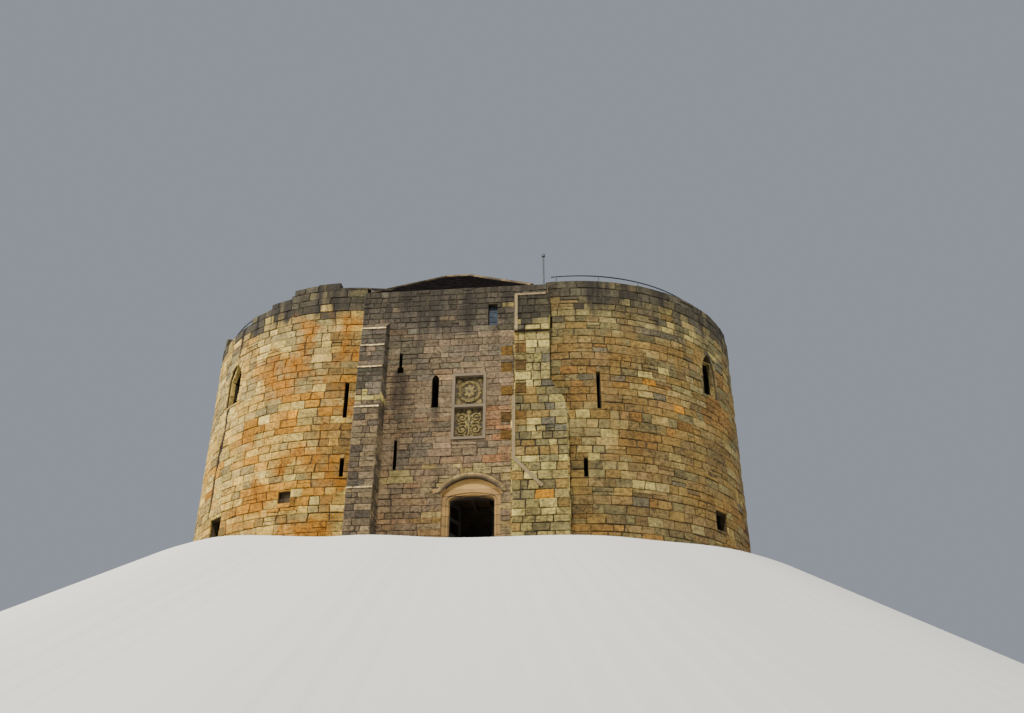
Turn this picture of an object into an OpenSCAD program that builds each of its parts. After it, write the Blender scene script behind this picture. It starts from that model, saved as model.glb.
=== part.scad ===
// Castle keep: a roofless quatrefoil shell of four round lobes, with a gate building
// in its front notch. Millimetres, +Z up, the entrance faces -Y.
// The plan is drawn about the tower's own centre and then set so that the origin
// lies at the bottom centre of the whole building.

/* [Quatrefoil shell] */
// Distance of each lobe's centre from the two centre lines
lobe_spacing = 4050; // [3900:10:4200]
// Inside radius of a lobe
lobe_inner_r = 3350; // [3200:10:3500]
// Thickness of the lobe walls
wall_t = 2900; // [2700:10:3050]
// Height of the wall walk above the ground
walk_h = 9400; // [9200:10:9500]
// Thickness of the parapet
parapet_t = 550; // [400:10:700]
// Height of the parapet above the wall walk
parapet_h = 800; // [700:10:900]

/* [Loops and windows of the lobes] */
// Width of the arrow loops at the outer face
loop_w = 140; // [120:1:170]
// Depth of the narrow throat of a loop
throat_t = 380; // [300:10:450]
// Width of an embrasure at the inner face
splay_w = 1200; // [1000:10:1300]
// Height of the tall upper loops
tall_loop_h = 1350; // [1200:10:1450]
// Height of the short lower loops
short_loop_h = 640; // [560:10:700]
// Sill height of the tall upper loops
tall_loop_sill = 5180; // [5000:10:5300]
// Sill height of the short lower loops
short_loop_sill = 2760; // [2600:10:3000]
// Sill height of the front left lobe's short loop, which stands a little higher
left_short_sill = 3050; // [2900:10:3200]
// Width of the pointed windows' outer recess
window_w = 860; // [800:10:920]
// Width of the pointed windows' light
light_w = 540; // [480:10:600]
// How much lower the head of that light is than the recess's
light_drop = 230; // [180:10:300]
// Height of the pointed windows' outer recess
window_h = 1700; // [1600:10:1800]
// Depth of the pointed windows' outer recess
recess_t = 420; // [350:10:500]
// Sill height of the pointed windows
window_sill = 6620; // [6500:10:6700]
// Direction of the front left lobe's window from its centre, with the outer corner at 225
front_left_window = 228; // [222:0.5:230]
// Direction of the front right lobe's window
front_right_window = 216; // [212:0.5:228]
// Direction of the back lobes' windows
back_window = 220; // [212:0.5:230]
// Width and height of the low square openings
low_opening = 680; // [600:10:720]
// Sill height of the low square openings
low_sill = 1580; // [1450:10:1650]
// How far round from its window each lobe's low opening lies
low_turn = 1.5; // [0:0.5:3]
// Distance of the front left lobe's tall loop from the gate building
left_loop_gap = 425; // [350:5:500]
// Distance of the front left lobe's short loop from the gate building
left_short_gap = 370; // [300:5:500]
// Distance of the front right lobe's tall loop from the gate building
right_loop_gap = 1660; // [1500:10:1800]
// Distance of the front right lobe's short loop from the gate building
right_short_gap = 1145; // [1000:5:1300]
// Width of the crack that runs up from the front left lobe's window
crack_w = 70; // [50:5:90]
// Depth of that crack
crack_t = 160; // [100:10:200]

/* [Gate building] */
// Distance of the gate building's front face from the tower's centre
front_face = 10450; // [10400:10:10600]
// Width of the gate building
gate_w = 6540; // [6400:10:6700]
// How far the gate building's middle lies to the right of the tower's centre
gate_x = 190; // [100:10:250]
// Height of the gate building's walls
gate_h = 10020; // [9900:10:10100]
// Thickness of its front wall
front_t = 1000; // [950:10:1050]
// Thickness of its side walls
side_t = 1000; // [900:10:1100]
// Depth of its rooms
room_d = 1700; // [1500:10:1750]
// Thickness of its floors
floor_t = 250; // [200:10:280]
// Height of the floor above the entrance
first_floor_z = 3000; // [2950:10:3050]
// Height of the floor under the roof space
second_floor_z = 7850; // [7800:10:8000]

/* [Doorway] */
// Middle of the doorway, from the tower's centre line
door_x = 915; // [850:5:1000]
// Width of the doorway
door_w = 1450; // [1350:10:1550]
// Height of the doorway at the springing of its arch
door_spring = 2020; // [1950:10:2060]
// Rise of the doorway's flat arch
door_rise = 200; // [190:5:230]
// Radius of the round corners of that arch
door_corner_r = 130; // [100:5:150]
// Depth of the outer order of the doorway
door_order_t = 450; // [400:10:500]
// Width of each jamb block beside the doorway
jamb_w = 540; // [500:10:580]
// Half the width of the shallow recess that holds the mouldings
recess_half_w = 950; // [900:10:980]
// Depth of that recess
door_recess_t = 110; // [80:5:130]
// Width and depth of the hollow round the doorway
hollow_w = 110; // [100:5:120]
// Radius of the roll that lies in the hollow
roll_r = 50; // [45:1:55]
// How much wider the inner reveal is on each side
reveal_step = 200; // [180:5:230]
// Height of the inner reveal
reveal_h = 2370; // [2340:5:2400]
// Height of the block that holds the arch
head_top = 2450; // [2430:5:2500]

/* [Tympanum and hood] */
// Radius of the tympanum
tympanum_r = 1200; // [1150:10:1230]
// Centre height of the tympanum and the hood
hood_z = 1590; // [1560:10:1620]
// Height at which the hood mould's feet end
hood_foot_z = 2300; // [2250:10:2350]
// Radial width of the hood mould
hood_w = 170; // [130:5:190]
// How far the hood mould stands out of the wall
hood_out = 70; // [50:5:100]
// Depth of the housing that the tympanum sits in
housing_t = 300; // [260:10:340]

/* [Carved panels] */
// Left side of the panel frame
panel_x = 200; // [150:10:250]
// Width of the panel frame
panel_w = 1150; // [1050:10:1200]
// Bottom of the panel frame
panel_z = 4130; // [4050:10:4200]
// Height of the panel frame
panel_h = 2430; // [2300:10:2500]
// Width of the frame's members
panel_bar_w = 90; // [70:5:110]
// Depth of the niche behind the frame
panel_niche = 220; // [180:10:260]
// How far the frame stands out of the wall
panel_out = 70; // [40:5:100]
// Thickness of the carved slabs in the frame
slab_t = 120; // [100:5:140]
// How far the slabs' edges reach behind the frame's members
slab_lap = 30; // [20:1:40]

/* [Windows of the gate building] */
// Middle of the lancet
lancet_x = -390; // [-450:10:-360]
// Width of the lancet
lancet_w = 240; // [200:10:280]
// Sill of the lancet
lancet_z = 5350; // [5250:10:5450]
// Height of the lancet
lancet_h = 1230; // [1150:10:1300]
// Middle of the two loops left of the doorway
gate_loop_x = -1640; // [-1700:10:-1600]
// Width of these loops
gate_loop_w = 110; // [90:5:130]
// Width and height of the square foot of these loops
loop_foot = 210; // [180:5:230]
// Sill of the upper loop
upper_loop_z = 6710; // [6600:10:6800]
// Height of the upper loop
upper_loop_h = 750; // [700:10:780]
// Sill of the lower loop
lower_loop_z = 3150; // [3120:10:3250]
// Height of the lower loop
lower_loop_h = 1030; // [950:10:1100]
// Middle of the glazed window
glazed_x = 1545; // [1500:10:1600]
// Width of the glazed window
glazed_w = 330; // [300:10:380]
// Height of the glazed window
glazed_h = 870; // [800:10:900]
// Distance of its head from the top of the wall
glazed_drop = 710; // [650:10:800]
// Thickness of its glass
glass_t = 12; // [8:1:20]
// How far the glass lies behind the wall face
glass_set = 180; // [120:10:250]

/* [Buttresses] */
// Left side of the left buttress
left_butt_x = -2960; // [-3000:10:-2940]
// Width of the left buttress
left_butt_w = 840; // [780:10:880]
// How far the foot of the left buttress stands out
left_butt_out = 800; // [700:10:850]
// How much the left buttress draws back at each set-off
set_off = 75; // [50:5:90]
// Height of the nosing on each set-off
nosing_h = 55; // [40:5:70]
// How far the nosing stands out of the buttress
nosing_out = 30; // [15:5:40]
// Left side of the right buttress at its foot
right_butt_x = 2240; // [2210:10:2300]
// Width of the right buttress above its foot
right_butt_w = 1280; // [1240:10:1320]
// How far the right buttress stands out
right_butt_out = 120; // [90:5:200]
// Height at which the right buttress's overhanging head begins
head_z = 8040; // [7900:10:8200]
// Height of that head
head_h = 1460; // [1300:10:1500]
// How far the head overhangs the buttress under it
head_lap = 120; // [80:5:160]
// Width of the pale string courses on the right buttress
string_w = 100; // [80:5:120]
// How far the string courses stand out
string_out = 70; // [50:5:90]
// Height at which the lower string course turns aside
string_bend = 3330; // [3200:10:3450]
// How far it runs to the right from there
string_run = 930; // [850:10:960]
// How much it falls on the way, for each unit to the right
string_slope = 1.07; // [1:0.01:1.15]
// Width of the chase beside the right buttress
chase_w = 55; // [40:5:80]

/* [Roof] */
// Distance of the left eave from the gate building's left face
left_eave_set = 200; // [100:10:300]
// Distance of the right eave from the gate building's right face
right_eave_set = 560; // [500:10:600]
// Distance of the front eave from the front face
front_eave_set = 150; // [100:10:200]
// Width of the solid edge of the roof, where it rests on the walls
eave_seat = 250; // [200:10:300]
// Where the planes of the two end hips would meet, from the tower's centre line
apex_x = -140; // [-300:10:0]
// Height above the eaves at which they would meet
hip_rise = 2350; // [2300:10:2500]
// Thickness of the roof
roof_t = 100; // [80:5:130]
// Rise of the ridge above the eaves
roof_rise = 1980; // [1800:10:2100]

/* [Gate leaves] */
// Thickness of a leaf
leaf_t = 60; // [50:1:70]
// Height of a leaf
leaf_h = 2270; // [2250:1:2290]
// Clearance under a leaf
leaf_gap = 25; // [15:1:40]
// Width of a leaf's stiles and rails
leaf_bar = 110; // [90:1:130]
// Gap between the closed leaves
meeting_gap = 12; // [10:1:20]
// Gap between the closed leaves and the step of the doorway in front of them
leaf_clear = 6; // [5:1:10]
// Angle at which the leaves stand open
leaf_open = 70; // [60:1:80]
// Radius of the hinge pins
pin_r = 12; // [10:0.5:13]

/* [Handrails and mast] */
// Radius of the handrail's tube
rail_r = 24; // [18:1:30]
// Radius of the handrail's posts
post_r = 17; // [12:1:20]
// Height of the handrail above the wall walk
rail_h = 1450; // [1200:10:1500]
// Height of the front left lobe's handrail, which stands on the parapet, above the wall walk
low_rail_h = 890; // [850:10:950]
// Distance of that handrail from the lobe's outer face
low_rail_in = 260; // [200:10:320]
// Radius of the mast on the gate building
mast_r = 30; // [20:1:40]
// Height of the mast above the wall
mast_h = 1480; // [1300:10:1600]
// Distance of the mast from the gate building's right side
mast_in = 130; // [110:5:200]
// Distance of the mast from the front face
mast_back = 260; // [150:10:400]
// Distance from the parapet to the middle of the handrail
rail_set = 80; // [60:5:120]

/* [Hidden] */
$fn = 360;

// The play between pieces that rest on one another
seat = 0.3;
// Longer than any piece, and how far a cutter runs past a curved face
far = 30000;
past = 400;
// How much higher the back of an embrasure is than its front
splay_rise = 300;
// How much wider than a lobe's embrasure its pointed head is drawn, so that its sides cut the arches
head_slack = 80;
// Angle from a handrail's end to its last post, the lengths it is made in, the gap between them
post_inset = 2;
rail_bays = 8;
rail_joint = 6;
// Where the handrails start and end, about the lobe's centre
rail_start = 145;
rail_end_front = 275;
rail_end_back = 305;
// Where the front left lobe's handrail starts and ends, on the low part of its parapet
low_rail_start = 208;
low_rail_end = 243;
// The directions of its posts, and which part of the broken parapet each stands on
low_posts = [[214, 1], [225, 1], [233, 2], [242, 3]];
lobe_r = lobe_inner_r + wall_t;
notch = lobe_spacing + sqrt(lobe_r * lobe_r - lobe_spacing * lobe_spacing);
hub_r = notch - wall_t;
back_reach = lobe_spacing + lobe_r;
front_reach = front_face + left_butt_out + nosing_out;
tower_y = (front_reach - back_reach) / 2;

gate_left = gate_x - gate_w / 2;
gate_right = gate_x + gate_w / 2;
room_left = gate_left + side_t;
room_right = gate_right - side_t;
room_front = -front_face + front_t;
room_back = room_front + room_d;
door_left = door_x - door_w / 2;
door_right = door_x + door_w / 2;
bay_left = door_left - jamb_w;
bay_right = door_right + jamb_w;
order_back = -front_face + door_order_t;
corner_x = door_w / 2 - door_corner_r;
crown_r = (corner_x * corner_x + door_rise * door_rise - door_corner_r * door_corner_r)
    / (2 * (door_rise - door_corner_r));
// Angle above the horizontal at which the round corners pass into the flat crown
crown_angle = atan((crown_r - door_rise) / corner_x);
roll_set = hollow_w + 15 - roll_r;
roll_joint = 3;
recess_y = -front_face + door_recess_t;
hood_r = tympanum_r + 5;

glazed_z = gate_h - glazed_drop - glazed_h;
front_throat_t = 300;
front_splay_w = 700;
front_splay_drop = 290;

// The hinges: how far the axis lies behind the leaf, the leaf's heel from the axis, the straps
axis_set = 35;
heel_gap = 10;
strap_l = 500;
strap_t = 10;
strap_h = 50;
eye_t = 9;
hook_heights = [420, 1850];
hook_t = 28;
hook_l = 25;
collar_t = 6;
axis_x = door_w / 2 + reveal_step - hook_l;
axis_y = order_back + leaf_clear + leaf_t + axis_set;
leaf_w = axis_x - heel_gap - meeting_gap / 2;

// The angles, from the lobe's centre, at which each lobe's wall is cut into three
wall_start = 90;
cut_low = 188;
cut_high = 244;
wall_end = 360;
// The broken parapet of the front left lobe: from angle, to angle, height above the wall walk
broken_tops = [[wall_start, 212, 800], [212, 226, 300], [226, 234, 390], [234, 243.8, 620],
    [243.8, 252, 830], [252, 253.2, 940], [253.2, 262, 1160], [262, 269.6, 1220],
    [269.6, wall_end, 1010]];
whole_tops = [[wall_start, wall_end, parapet_h]];
// Heights of the left buttress's set-offs
left_butt_tops = [2300, 5160, 6690, 7560, 8270];
left_butt_slope = 0.8;
// Distance of the lower string course from the buttress's edges
string_inset = 5;
// Ragged right side of the right buttress, from its foot up: place, height
tooth_edge = [[4050, 0], [4050, 5130], [3960, 5480], [3640, 5960]];
tooth_top = 6200;
butt_step = 100;
butt_step_z = 5600;
// The inner doorway's flat arch springs this far in from its sides
inner_arch_set = 40;
inner_half_w = door_w / 2 - inner_arch_set;
inner_arch_r = (inner_half_w * inner_half_w + door_rise * door_rise) / (2 * door_rise);
// How far the wall behind the gate rooms reaches past the court's rim before it is cut back
gate_back_reach = 1200;
// The place and size of the small square niche and the slot in the lobes
niche_angle = 258.3;
niche_w = 460;
niche_h = 400;
niche_z = 2220;
niche_t = 120;
slot_angle = 274.5;
slot_w = 70;
slot_h = 410;
slot_z = 8310;
slot_t = 250;

stone = [0.60, 0.50, 0.36];
dark_stone = [0.43, 0.38, 0.31];
dressed_stone = [0.66, 0.58, 0.44];
oak = [0.33, 0.26, 0.19];
iron = [0.16, 0.16, 0.17];
tile = [0.24, 0.20, 0.19];
glass_blue = [0.55, 0.66, 0.75];

// Puts the tower's centre in its place behind the origin.
module in_place() {
    translate([0, tower_y, 0]) children();
}

// A box from one corner to the other.
module box(low, high) {
    translate(low) cube(high - low);
}

// An opening with a pointed head, cut along +Y from y = 0; x is across, z up from its sill.
module pointed_hole(w, h, depth) {
    rise = w * sqrt(3) / 2;
    intersection() {
        box([-w / 2, 0, 0], [w / 2, depth, h]);
        union() {
            box([-w, -1, -1], [w, depth + 1, h - rise]);
            intersection() {
                translate([-w / 2, -2, h - rise]) rotate([-90, 0, 0]) cylinder(r = w, h = depth + 4);
                translate([w / 2, -2, h - rise]) rotate([-90, 0, 0]) cylinder(r = w, h = depth + 4);
            }
        }
    }
}

// The splayed part of an embrasure: narrow at y = from, wide at y = to, with a pointed head.
module splay(narrow, wide, from, to, h, slack = 0) {
    intersection() {
        linear_extrude(height = h + 2 * splay_rise)
            polygon([[-narrow / 2, from], [narrow / 2, from], [wide / 2, to], [-wide / 2, to]]);
        translate([0, from - 10, 0]) pointed_hole(wide + slack, h + splay_rise, to - from + 20);
    }
}

// An arrow loop through the whole wall: a narrow throat and a wide splay behind it.
module loop_hole(h, depth, w = loop_w) {
    box([-w / 2, -past, 0], [w / 2, throat_t + 1, h]);
    splay(w, splay_w, throat_t, depth + 100, h, head_slack);
}

// A pointed window in a wider arched recess.
module pointed_window(depth) {
    light_h = window_h - light_drop;
    translate([0, -past, 0]) pointed_hole(window_w, window_h, recess_t + past);
    translate([0, recess_t - 1, 0]) pointed_hole(light_w, light_h, throat_t + 2);
    splay(light_w, splay_w, recess_t + throat_t, depth + 100, light_h, head_slack);
}

// A low square opening with a splay behind it.
module square_opening(depth) {
    box([-low_opening / 2, -past, 0], [low_opening / 2, throat_t + 1, low_opening]);
    splay(low_opening, splay_w, throat_t, depth + 100, low_opening, head_slack);
}

// Turns a cutter that looks along +Y so that it enters a lobe at this angle and height.
module at_lobe(angle, z) {
    rotate([0, 0, angle + 90]) translate([0, -lobe_r, z]) children();
}

// The direction from a front lobe's centre at which its wall stands at this distance
// from the tower's centre line.
function face_angle(x) = wall_end - acos((lobe_spacing - x) / lobe_r);

// What is cut from the outward walls of a lobe, in its own frame with the outer corner at 225.
module lobe_openings(face_loop, face_short, corner_window, short_sill = short_loop_sill) {
    at_lobe(face_loop, tall_loop_sill) loop_hole(tall_loop_h, wall_t);
    at_lobe(face_short, short_sill) loop_hole(short_loop_h, wall_t);
    at_lobe(corner_window, window_sill) pointed_window(wall_t);
    at_lobe(corner_window + low_turn, low_sill) square_opening(wall_t);
}

// A square-cut pocket in a lobe's outer face.
module pocket(angle, z, w, h, depth) {
    at_lobe(angle, z) box([-w / 2, -100, 0], [w / 2, depth, h]);
}

module front_left_openings() {
    translate([-lobe_spacing, -lobe_spacing, 0]) {
        lobe_openings(face_angle(left_loop_gap - gate_left), face_angle(left_short_gap - gate_left),
            front_left_window, left_short_sill);
        pocket(front_left_window, window_sill + window_h - 2 * crack_w, crack_w, far, crack_t);
        pocket(niche_angle, niche_z, niche_w, niche_h, niche_t);
    }
}

module front_right_openings() {
    translate([-lobe_spacing, -lobe_spacing, 0]) {
        lobe_openings(face_angle(right_loop_gap + gate_right), face_angle(right_short_gap + gate_right),
            front_right_window);
        pocket(slot_angle, slot_z, slot_w, slot_h, slot_t);
    }
}

module back_openings() {
    translate([-lobe_spacing, -lobe_spacing, 0]) lobe_openings(270, 270, back_window);
}

// The wedge between two angles about a lobe's centre.
module wedge(from, to) {
    steps = 4;
    linear_extrude(height = far, center = true)
        polygon(concat([[0, 0]], [for (i = [0:steps])
            let (a = from + (to - from) * i / steps) [far * cos(a), far * sin(a)]]));
}

// One quadrant of the shell with its outer corner at 225 degrees, in the tower's frame.
// side_cut is where the wall ends at its front end: 0, or the gate building's side.
// What is given to it is cut out of the wall first, before the bay and the court are.
module quadrant_wall(from, to, side_cut) {
    difference() {
        difference() {
            intersection() {
                translate([-lobe_spacing, -lobe_spacing, 0]) cylinder(r = lobe_r, h = walk_h);
                translate([-lobe_spacing, -lobe_spacing, 0]) wedge(from, to);
                box([-far, -far, -1], [-side_cut, 0, far]);
            }
            children();
        }
        translate([-lobe_spacing, -lobe_spacing, -1]) cylinder(r = lobe_inner_r, h = walk_h + 2);
        translate([0, 0, -1]) cylinder(r = hub_r, h = walk_h + 2);
    }
}

// A ring sector of the parapet between two angles, this high above the wall walk.
module parapet_piece(from, to, h) {
    intersection() {
        difference() {
            translate([0, 0, walk_h]) cylinder(r = lobe_r, h = h);
            translate([0, 0, walk_h - 1]) cylinder(r = lobe_r - parapet_t, h = h + 2);
        }
        wedge(from, to);
    }
}

// The parapet of the quadrant, cut at the centre lines or at the gate building's side.
module quadrant_parapet(tops, side_cut) {
    intersection() {
        translate([-lobe_spacing, -lobe_spacing, 0])
            union() for (t = tops) parapet_piece(t[0], t[1], t[2]);
        box([-far, -far, -1], [-side_cut, 0, far]);
    }
}

// The handrail of the quadrant: lengths of bent tube on posts that stand on the wall walk.
module quadrant_handrail(from, to, h) {
    r = lobe_r - parapet_t - rail_set;
    bay = (to - from) / rail_bays;
    joint = rail_joint * 180 / (PI * r);
    translate([-lobe_spacing, -lobe_spacing, 0]) {
        for (i = [0:rail_bays - 1])
            rotate([0, 0, from + bay * i + joint / 2]) rotate_extrude(angle = bay - joint)
                translate([r, walk_h + h - rail_r]) circle(r = rail_r, $fn = 48);
        for (i = [0:rail_bays])
            rotate([0, 0, from + post_inset + (to - from - 2 * post_inset) * i / rail_bays])
                translate([r, 0, walk_h + seat])
                    cylinder(r = post_r, h = h - 2 * rail_r - 2 * seat, $fn = 48);
    }
}

module front_left_wall_face() {
    in_place() color(stone) quadrant_wall(cut_high, wall_end, -gate_left) front_left_openings();
}

module front_left_wall_corner() {
    in_place() color(stone) quadrant_wall(cut_low, cut_high, -gate_left) front_left_openings();
}

module front_left_wall_side() {
    in_place() color(stone) quadrant_wall(wall_start, cut_low, -gate_left);
}

module front_right_wall_face() {
    in_place() color(stone) mirror([1, 0, 0]) quadrant_wall(cut_high, wall_end, gate_right)
        front_right_openings();
}

module front_right_wall_corner() {
    in_place() color(stone) mirror([1, 0, 0]) quadrant_wall(cut_low, cut_high, gate_right)
        front_right_openings();
}

module front_right_wall_side() {
    in_place() color(stone) mirror([1, 0, 0]) quadrant_wall(wall_start, cut_low, gate_right);
}

// A quadrant's shape turned to the back, on the left or the right.
module at_back(right) {
    mirror([right ? 1 : 0, 0, 0]) mirror([0, 1, 0]) children();
}

module back_wall_face() {
    quadrant_wall(cut_high, wall_end, 0) back_openings();
}

module back_wall_corner() {
    quadrant_wall(cut_low, cut_high, 0) back_openings();
}

module back_left_wall_face() {
    in_place() color(stone) at_back(false) back_wall_face();
}

module back_left_wall_corner() {
    in_place() color(stone) at_back(false) back_wall_corner();
}

module back_left_wall_side() {
    in_place() color(stone) at_back(false) quadrant_wall(wall_start, cut_low, 0);
}

module back_right_wall_face() {
    in_place() color(stone) at_back(true) back_wall_face();
}

module back_right_wall_corner() {
    in_place() color(stone) at_back(true) back_wall_corner();
}

module back_right_wall_side() {
    in_place() color(stone) at_back(true) quadrant_wall(wall_start, cut_low, 0);
}

module front_left_parapet() {
    in_place() color(dark_stone) difference() {
        quadrant_parapet(broken_tops, -gate_left);
        front_left_openings();
    }
}

module front_right_parapet() {
    in_place() color(dark_stone) mirror([1, 0, 0]) quadrant_parapet(whole_tops, gate_right);
}

module back_left_parapet() {
    in_place() color(dark_stone) at_back(false) quadrant_parapet(whole_tops, 0);
}

module back_right_parapet() {
    in_place() color(dark_stone) at_back(true) quadrant_parapet(whole_tops, 0);
}

module front_left_handrail() {
    r = lobe_r - low_rail_in;
    in_place() color(iron) translate([-lobe_spacing, -lobe_spacing, 0]) {
        rotate([0, 0, low_rail_start]) rotate_extrude(angle = low_rail_end - low_rail_start)
            translate([r, walk_h + low_rail_h - rail_r]) circle(r = rail_r, $fn = 48);
        for (p = low_posts)
            let (foot = broken_tops[p[1]][2])
                rotate([0, 0, p[0]]) translate([r, 0, walk_h + foot + seat])
                    cylinder(r = post_r, h = low_rail_h - foot - 2 * rail_r - 2 * seat, $fn = 48);
    }
}

module front_right_handrail() {
    in_place() color(iron) mirror([1, 0, 0]) quadrant_handrail(rail_start, rail_end_front, rail_h);
}

module back_left_handrail() {
    in_place() color(iron) at_back(false) quadrant_handrail(rail_start, rail_end_back, rail_h);
}

module back_right_handrail() {
    in_place() color(iron) at_back(true) quadrant_handrail(rail_start, rail_end_back, rail_h);
}

// A gate-building window's cutter, placed on the front face at this x and sill.
module at_front(x, z) {
    translate([x, -front_face, z]) children();
}

// A loop in the front wall: an upright slit with a square foot, and a splay behind it.
module front_loop(h) {
    box([-gate_loop_w / 2, -50, 0], [gate_loop_w / 2, front_throat_t + 1, h]);
    box([-loop_foot / 2, -50, 0], [loop_foot / 2, front_throat_t + 1, loop_foot]);
    front_splay(gate_loop_w, h);
}

// The splay behind a window of the front wall.
module front_splay(w, h) {
    splay(w, front_splay_w, front_throat_t, front_t + 100, h - front_splay_drop);
}

module lancet_hole() {
    translate([0, -50, 0]) pointed_hole(lancet_w, lancet_h, front_throat_t + 51);
    front_splay(lancet_w, lancet_h);
}

module glazed_hole() {
    box([-glazed_w / 2, -50, 0], [glazed_w / 2, front_throat_t + 1, glazed_h]);
    front_splay(glazed_w, glazed_h);
}

// Every window and niche of the front wall, cut from whichever piece it meets.
module front_cuts() {
    at_front(gate_loop_x, upper_loop_z) front_loop(upper_loop_h);
    at_front(gate_loop_x, lower_loop_z) front_loop(lower_loop_h);
    at_front(lancet_x, lancet_z) lancet_hole();
    at_front(glazed_x, glazed_z) glazed_hole();
    translate([door_x, -front_face - 1, hood_z]) rotate([-90, 0, 0])
        cylinder(r = tympanum_r, h = housing_t + 1);
    box([panel_x, -front_face - 1, panel_z],
        [panel_x + panel_w, -front_face + panel_niche, panel_z + panel_h]);
    box([right_butt_x + butt_step - chase_w, -front_face - 1, butt_step_z],
        [right_butt_x + butt_step, -front_face + 2 * chase_w, head_z]);
}

module gate_front_left() {
    in_place() color(stone) difference() {
        box([gate_left, -front_face, 0], [bay_left, room_front, gate_h]);
        front_cuts();
    }
}

module gate_front_right() {
    in_place() color(stone) difference() {
        box([bay_right, -front_face, 0], [gate_right, room_front, gate_h]);
        front_cuts();
    }
}

module gate_front_over_door() {
    in_place() color(stone) difference() {
        box([bay_left, -front_face, head_top], [bay_right, room_front, gate_h]);
        front_cuts();
    }
}

module gate_side_left() {
    in_place() color(stone) box([gate_left, room_front, 0], [room_left, room_back, gate_h]);
}

module gate_side_right() {
    in_place() color(stone) box([room_right, room_front, 0], [gate_right, room_back, gate_h]);
}

// The wall between the gate rooms and the court, between two x values and two heights.
module gate_back(x0, x1, z0, z1) {
    difference() {
        box([x0, room_back, z0], [x1, -hub_r + gate_back_reach, z1]);
        for (side = [-1, 1])
            translate([side * lobe_spacing, -lobe_spacing, -1])
                cylinder(r = lobe_inner_r, h = gate_h + 2);
        translate([0, 0, -1]) cylinder(r = hub_r, h = gate_h + 2);
    }
}

module gate_back_left() {
    in_place() color(stone) gate_back(gate_left, door_left, 0, gate_h);
}

module gate_back_right() {
    in_place() color(stone) gate_back(door_right, gate_right, 0, gate_h);
}

module gate_back_over_door() {
    in_place() color(stone) difference() {
        gate_back(door_left, door_right, door_spring, gate_h);
        translate([door_x, room_back - 1, door_spring + door_rise - inner_arch_r])
            rotate([-90, 0, 0]) cylinder(r = inner_arch_r, h = hub_r);
    }
}

module gate_first_floor() {
    in_place() color(oak) room_floor(first_floor_z);
}

module gate_second_floor() {
    in_place() color(oak) room_floor(second_floor_z);
}

module room_floor(top) {
    box([room_left + seat, room_front + seat, top - floor_t],
        [room_right - seat, room_back - seat, top]);
}

// The hipped form with its eaves at z = 0: rise is the ridge's, side_rise the end hips' own.
module hip_form(left, right, front, back, apex_y, rise, side_rise) {
    intersection() {
        translate([0, back, 0]) rotate([90, 0, 0]) linear_extrude(height = back - front)
            polygon([[left, 0], [right, 0], [apex_x, side_rise]]);
        translate([left, 0, 0]) rotate([90, 0, 90]) linear_extrude(height = right - left)
            polygon([[front, 0], [back, 0], [apex_y, rise]]);
    }
}

module gate_roof() {
    left = gate_left + left_eave_set;
    right = gate_right - right_eave_set;
    front = -front_face + front_eave_set;
    back = -hub_r;
    apex_y = (front + back) / 2;
    in_place() color(tile) translate([0, 0, gate_h]) difference() {
        union() {
            box([left, front, 0], [right, back, roof_t]);
            translate([0, 0, roof_t]) hip_form(left, right, front, back, apex_y, roof_rise, hip_rise);
        }
        translate([0, 0, -1]) hip_form(left + eave_seat, right - eave_seat, front + eave_seat,
            back - eave_seat, apex_y, roof_rise - roof_t, hip_rise - roof_t);
    }
}

// One stage of the left buttress: a sloping set-off with a nosing on its lower edge.
module buttress_stage(top, out) {
    lip = out + nosing_out;
    translate([left_butt_x, -front_face, 0]) rotate([90, 0, 90]) linear_extrude(height = left_butt_w)
        polygon([[0, 0], [-out, 0], [-out, top - nosing_h], [-lip, top - nosing_h], [-lip, top],
            [0, top + lip * left_butt_slope]]);
}

module left_buttress() {
    in_place() color(dark_stone) union()
        for (i = [0:len(left_butt_tops) - 1])
            buttress_stage(left_butt_tops[i], left_butt_out - set_off * i);
}

// An outline in the plane of the front face, brought out to stand from one depth to another.
module on_front(from, to) {
    translate([0, -front_face - from, 0]) rotate([90, 0, 0]) linear_extrude(height = to - from)
        children();
}

module right_buttress() {
    left = right_butt_x + butt_step;
    right = right_butt_x + right_butt_w;
    in_place() color(dark_stone) difference() {
        union() {
            on_front(-side_t / 2, right_butt_out)
                polygon(concat([[right_butt_x, butt_step_z], [right_butt_x, 0]], tooth_edge,
                    [[right, tooth_top], [right, head_z], [left, head_z], [left, butt_step_z]]));
            translate([left, -front_face, 0]) rotate([90, 0, 90])
                linear_extrude(height = right - left)
                    polygon([[0, head_z], [-right_butt_out - head_lap, head_z],
                        [-right_butt_out - head_lap, head_z + head_h],
                        [0, head_z + head_h + right_butt_out]]);
        }
        box([-far, -front_face, -1], [gate_right, far, far]);
        translate([lobe_spacing, -lobe_spacing, -1]) cylinder(r = lobe_r, h = far);
    }
}

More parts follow.
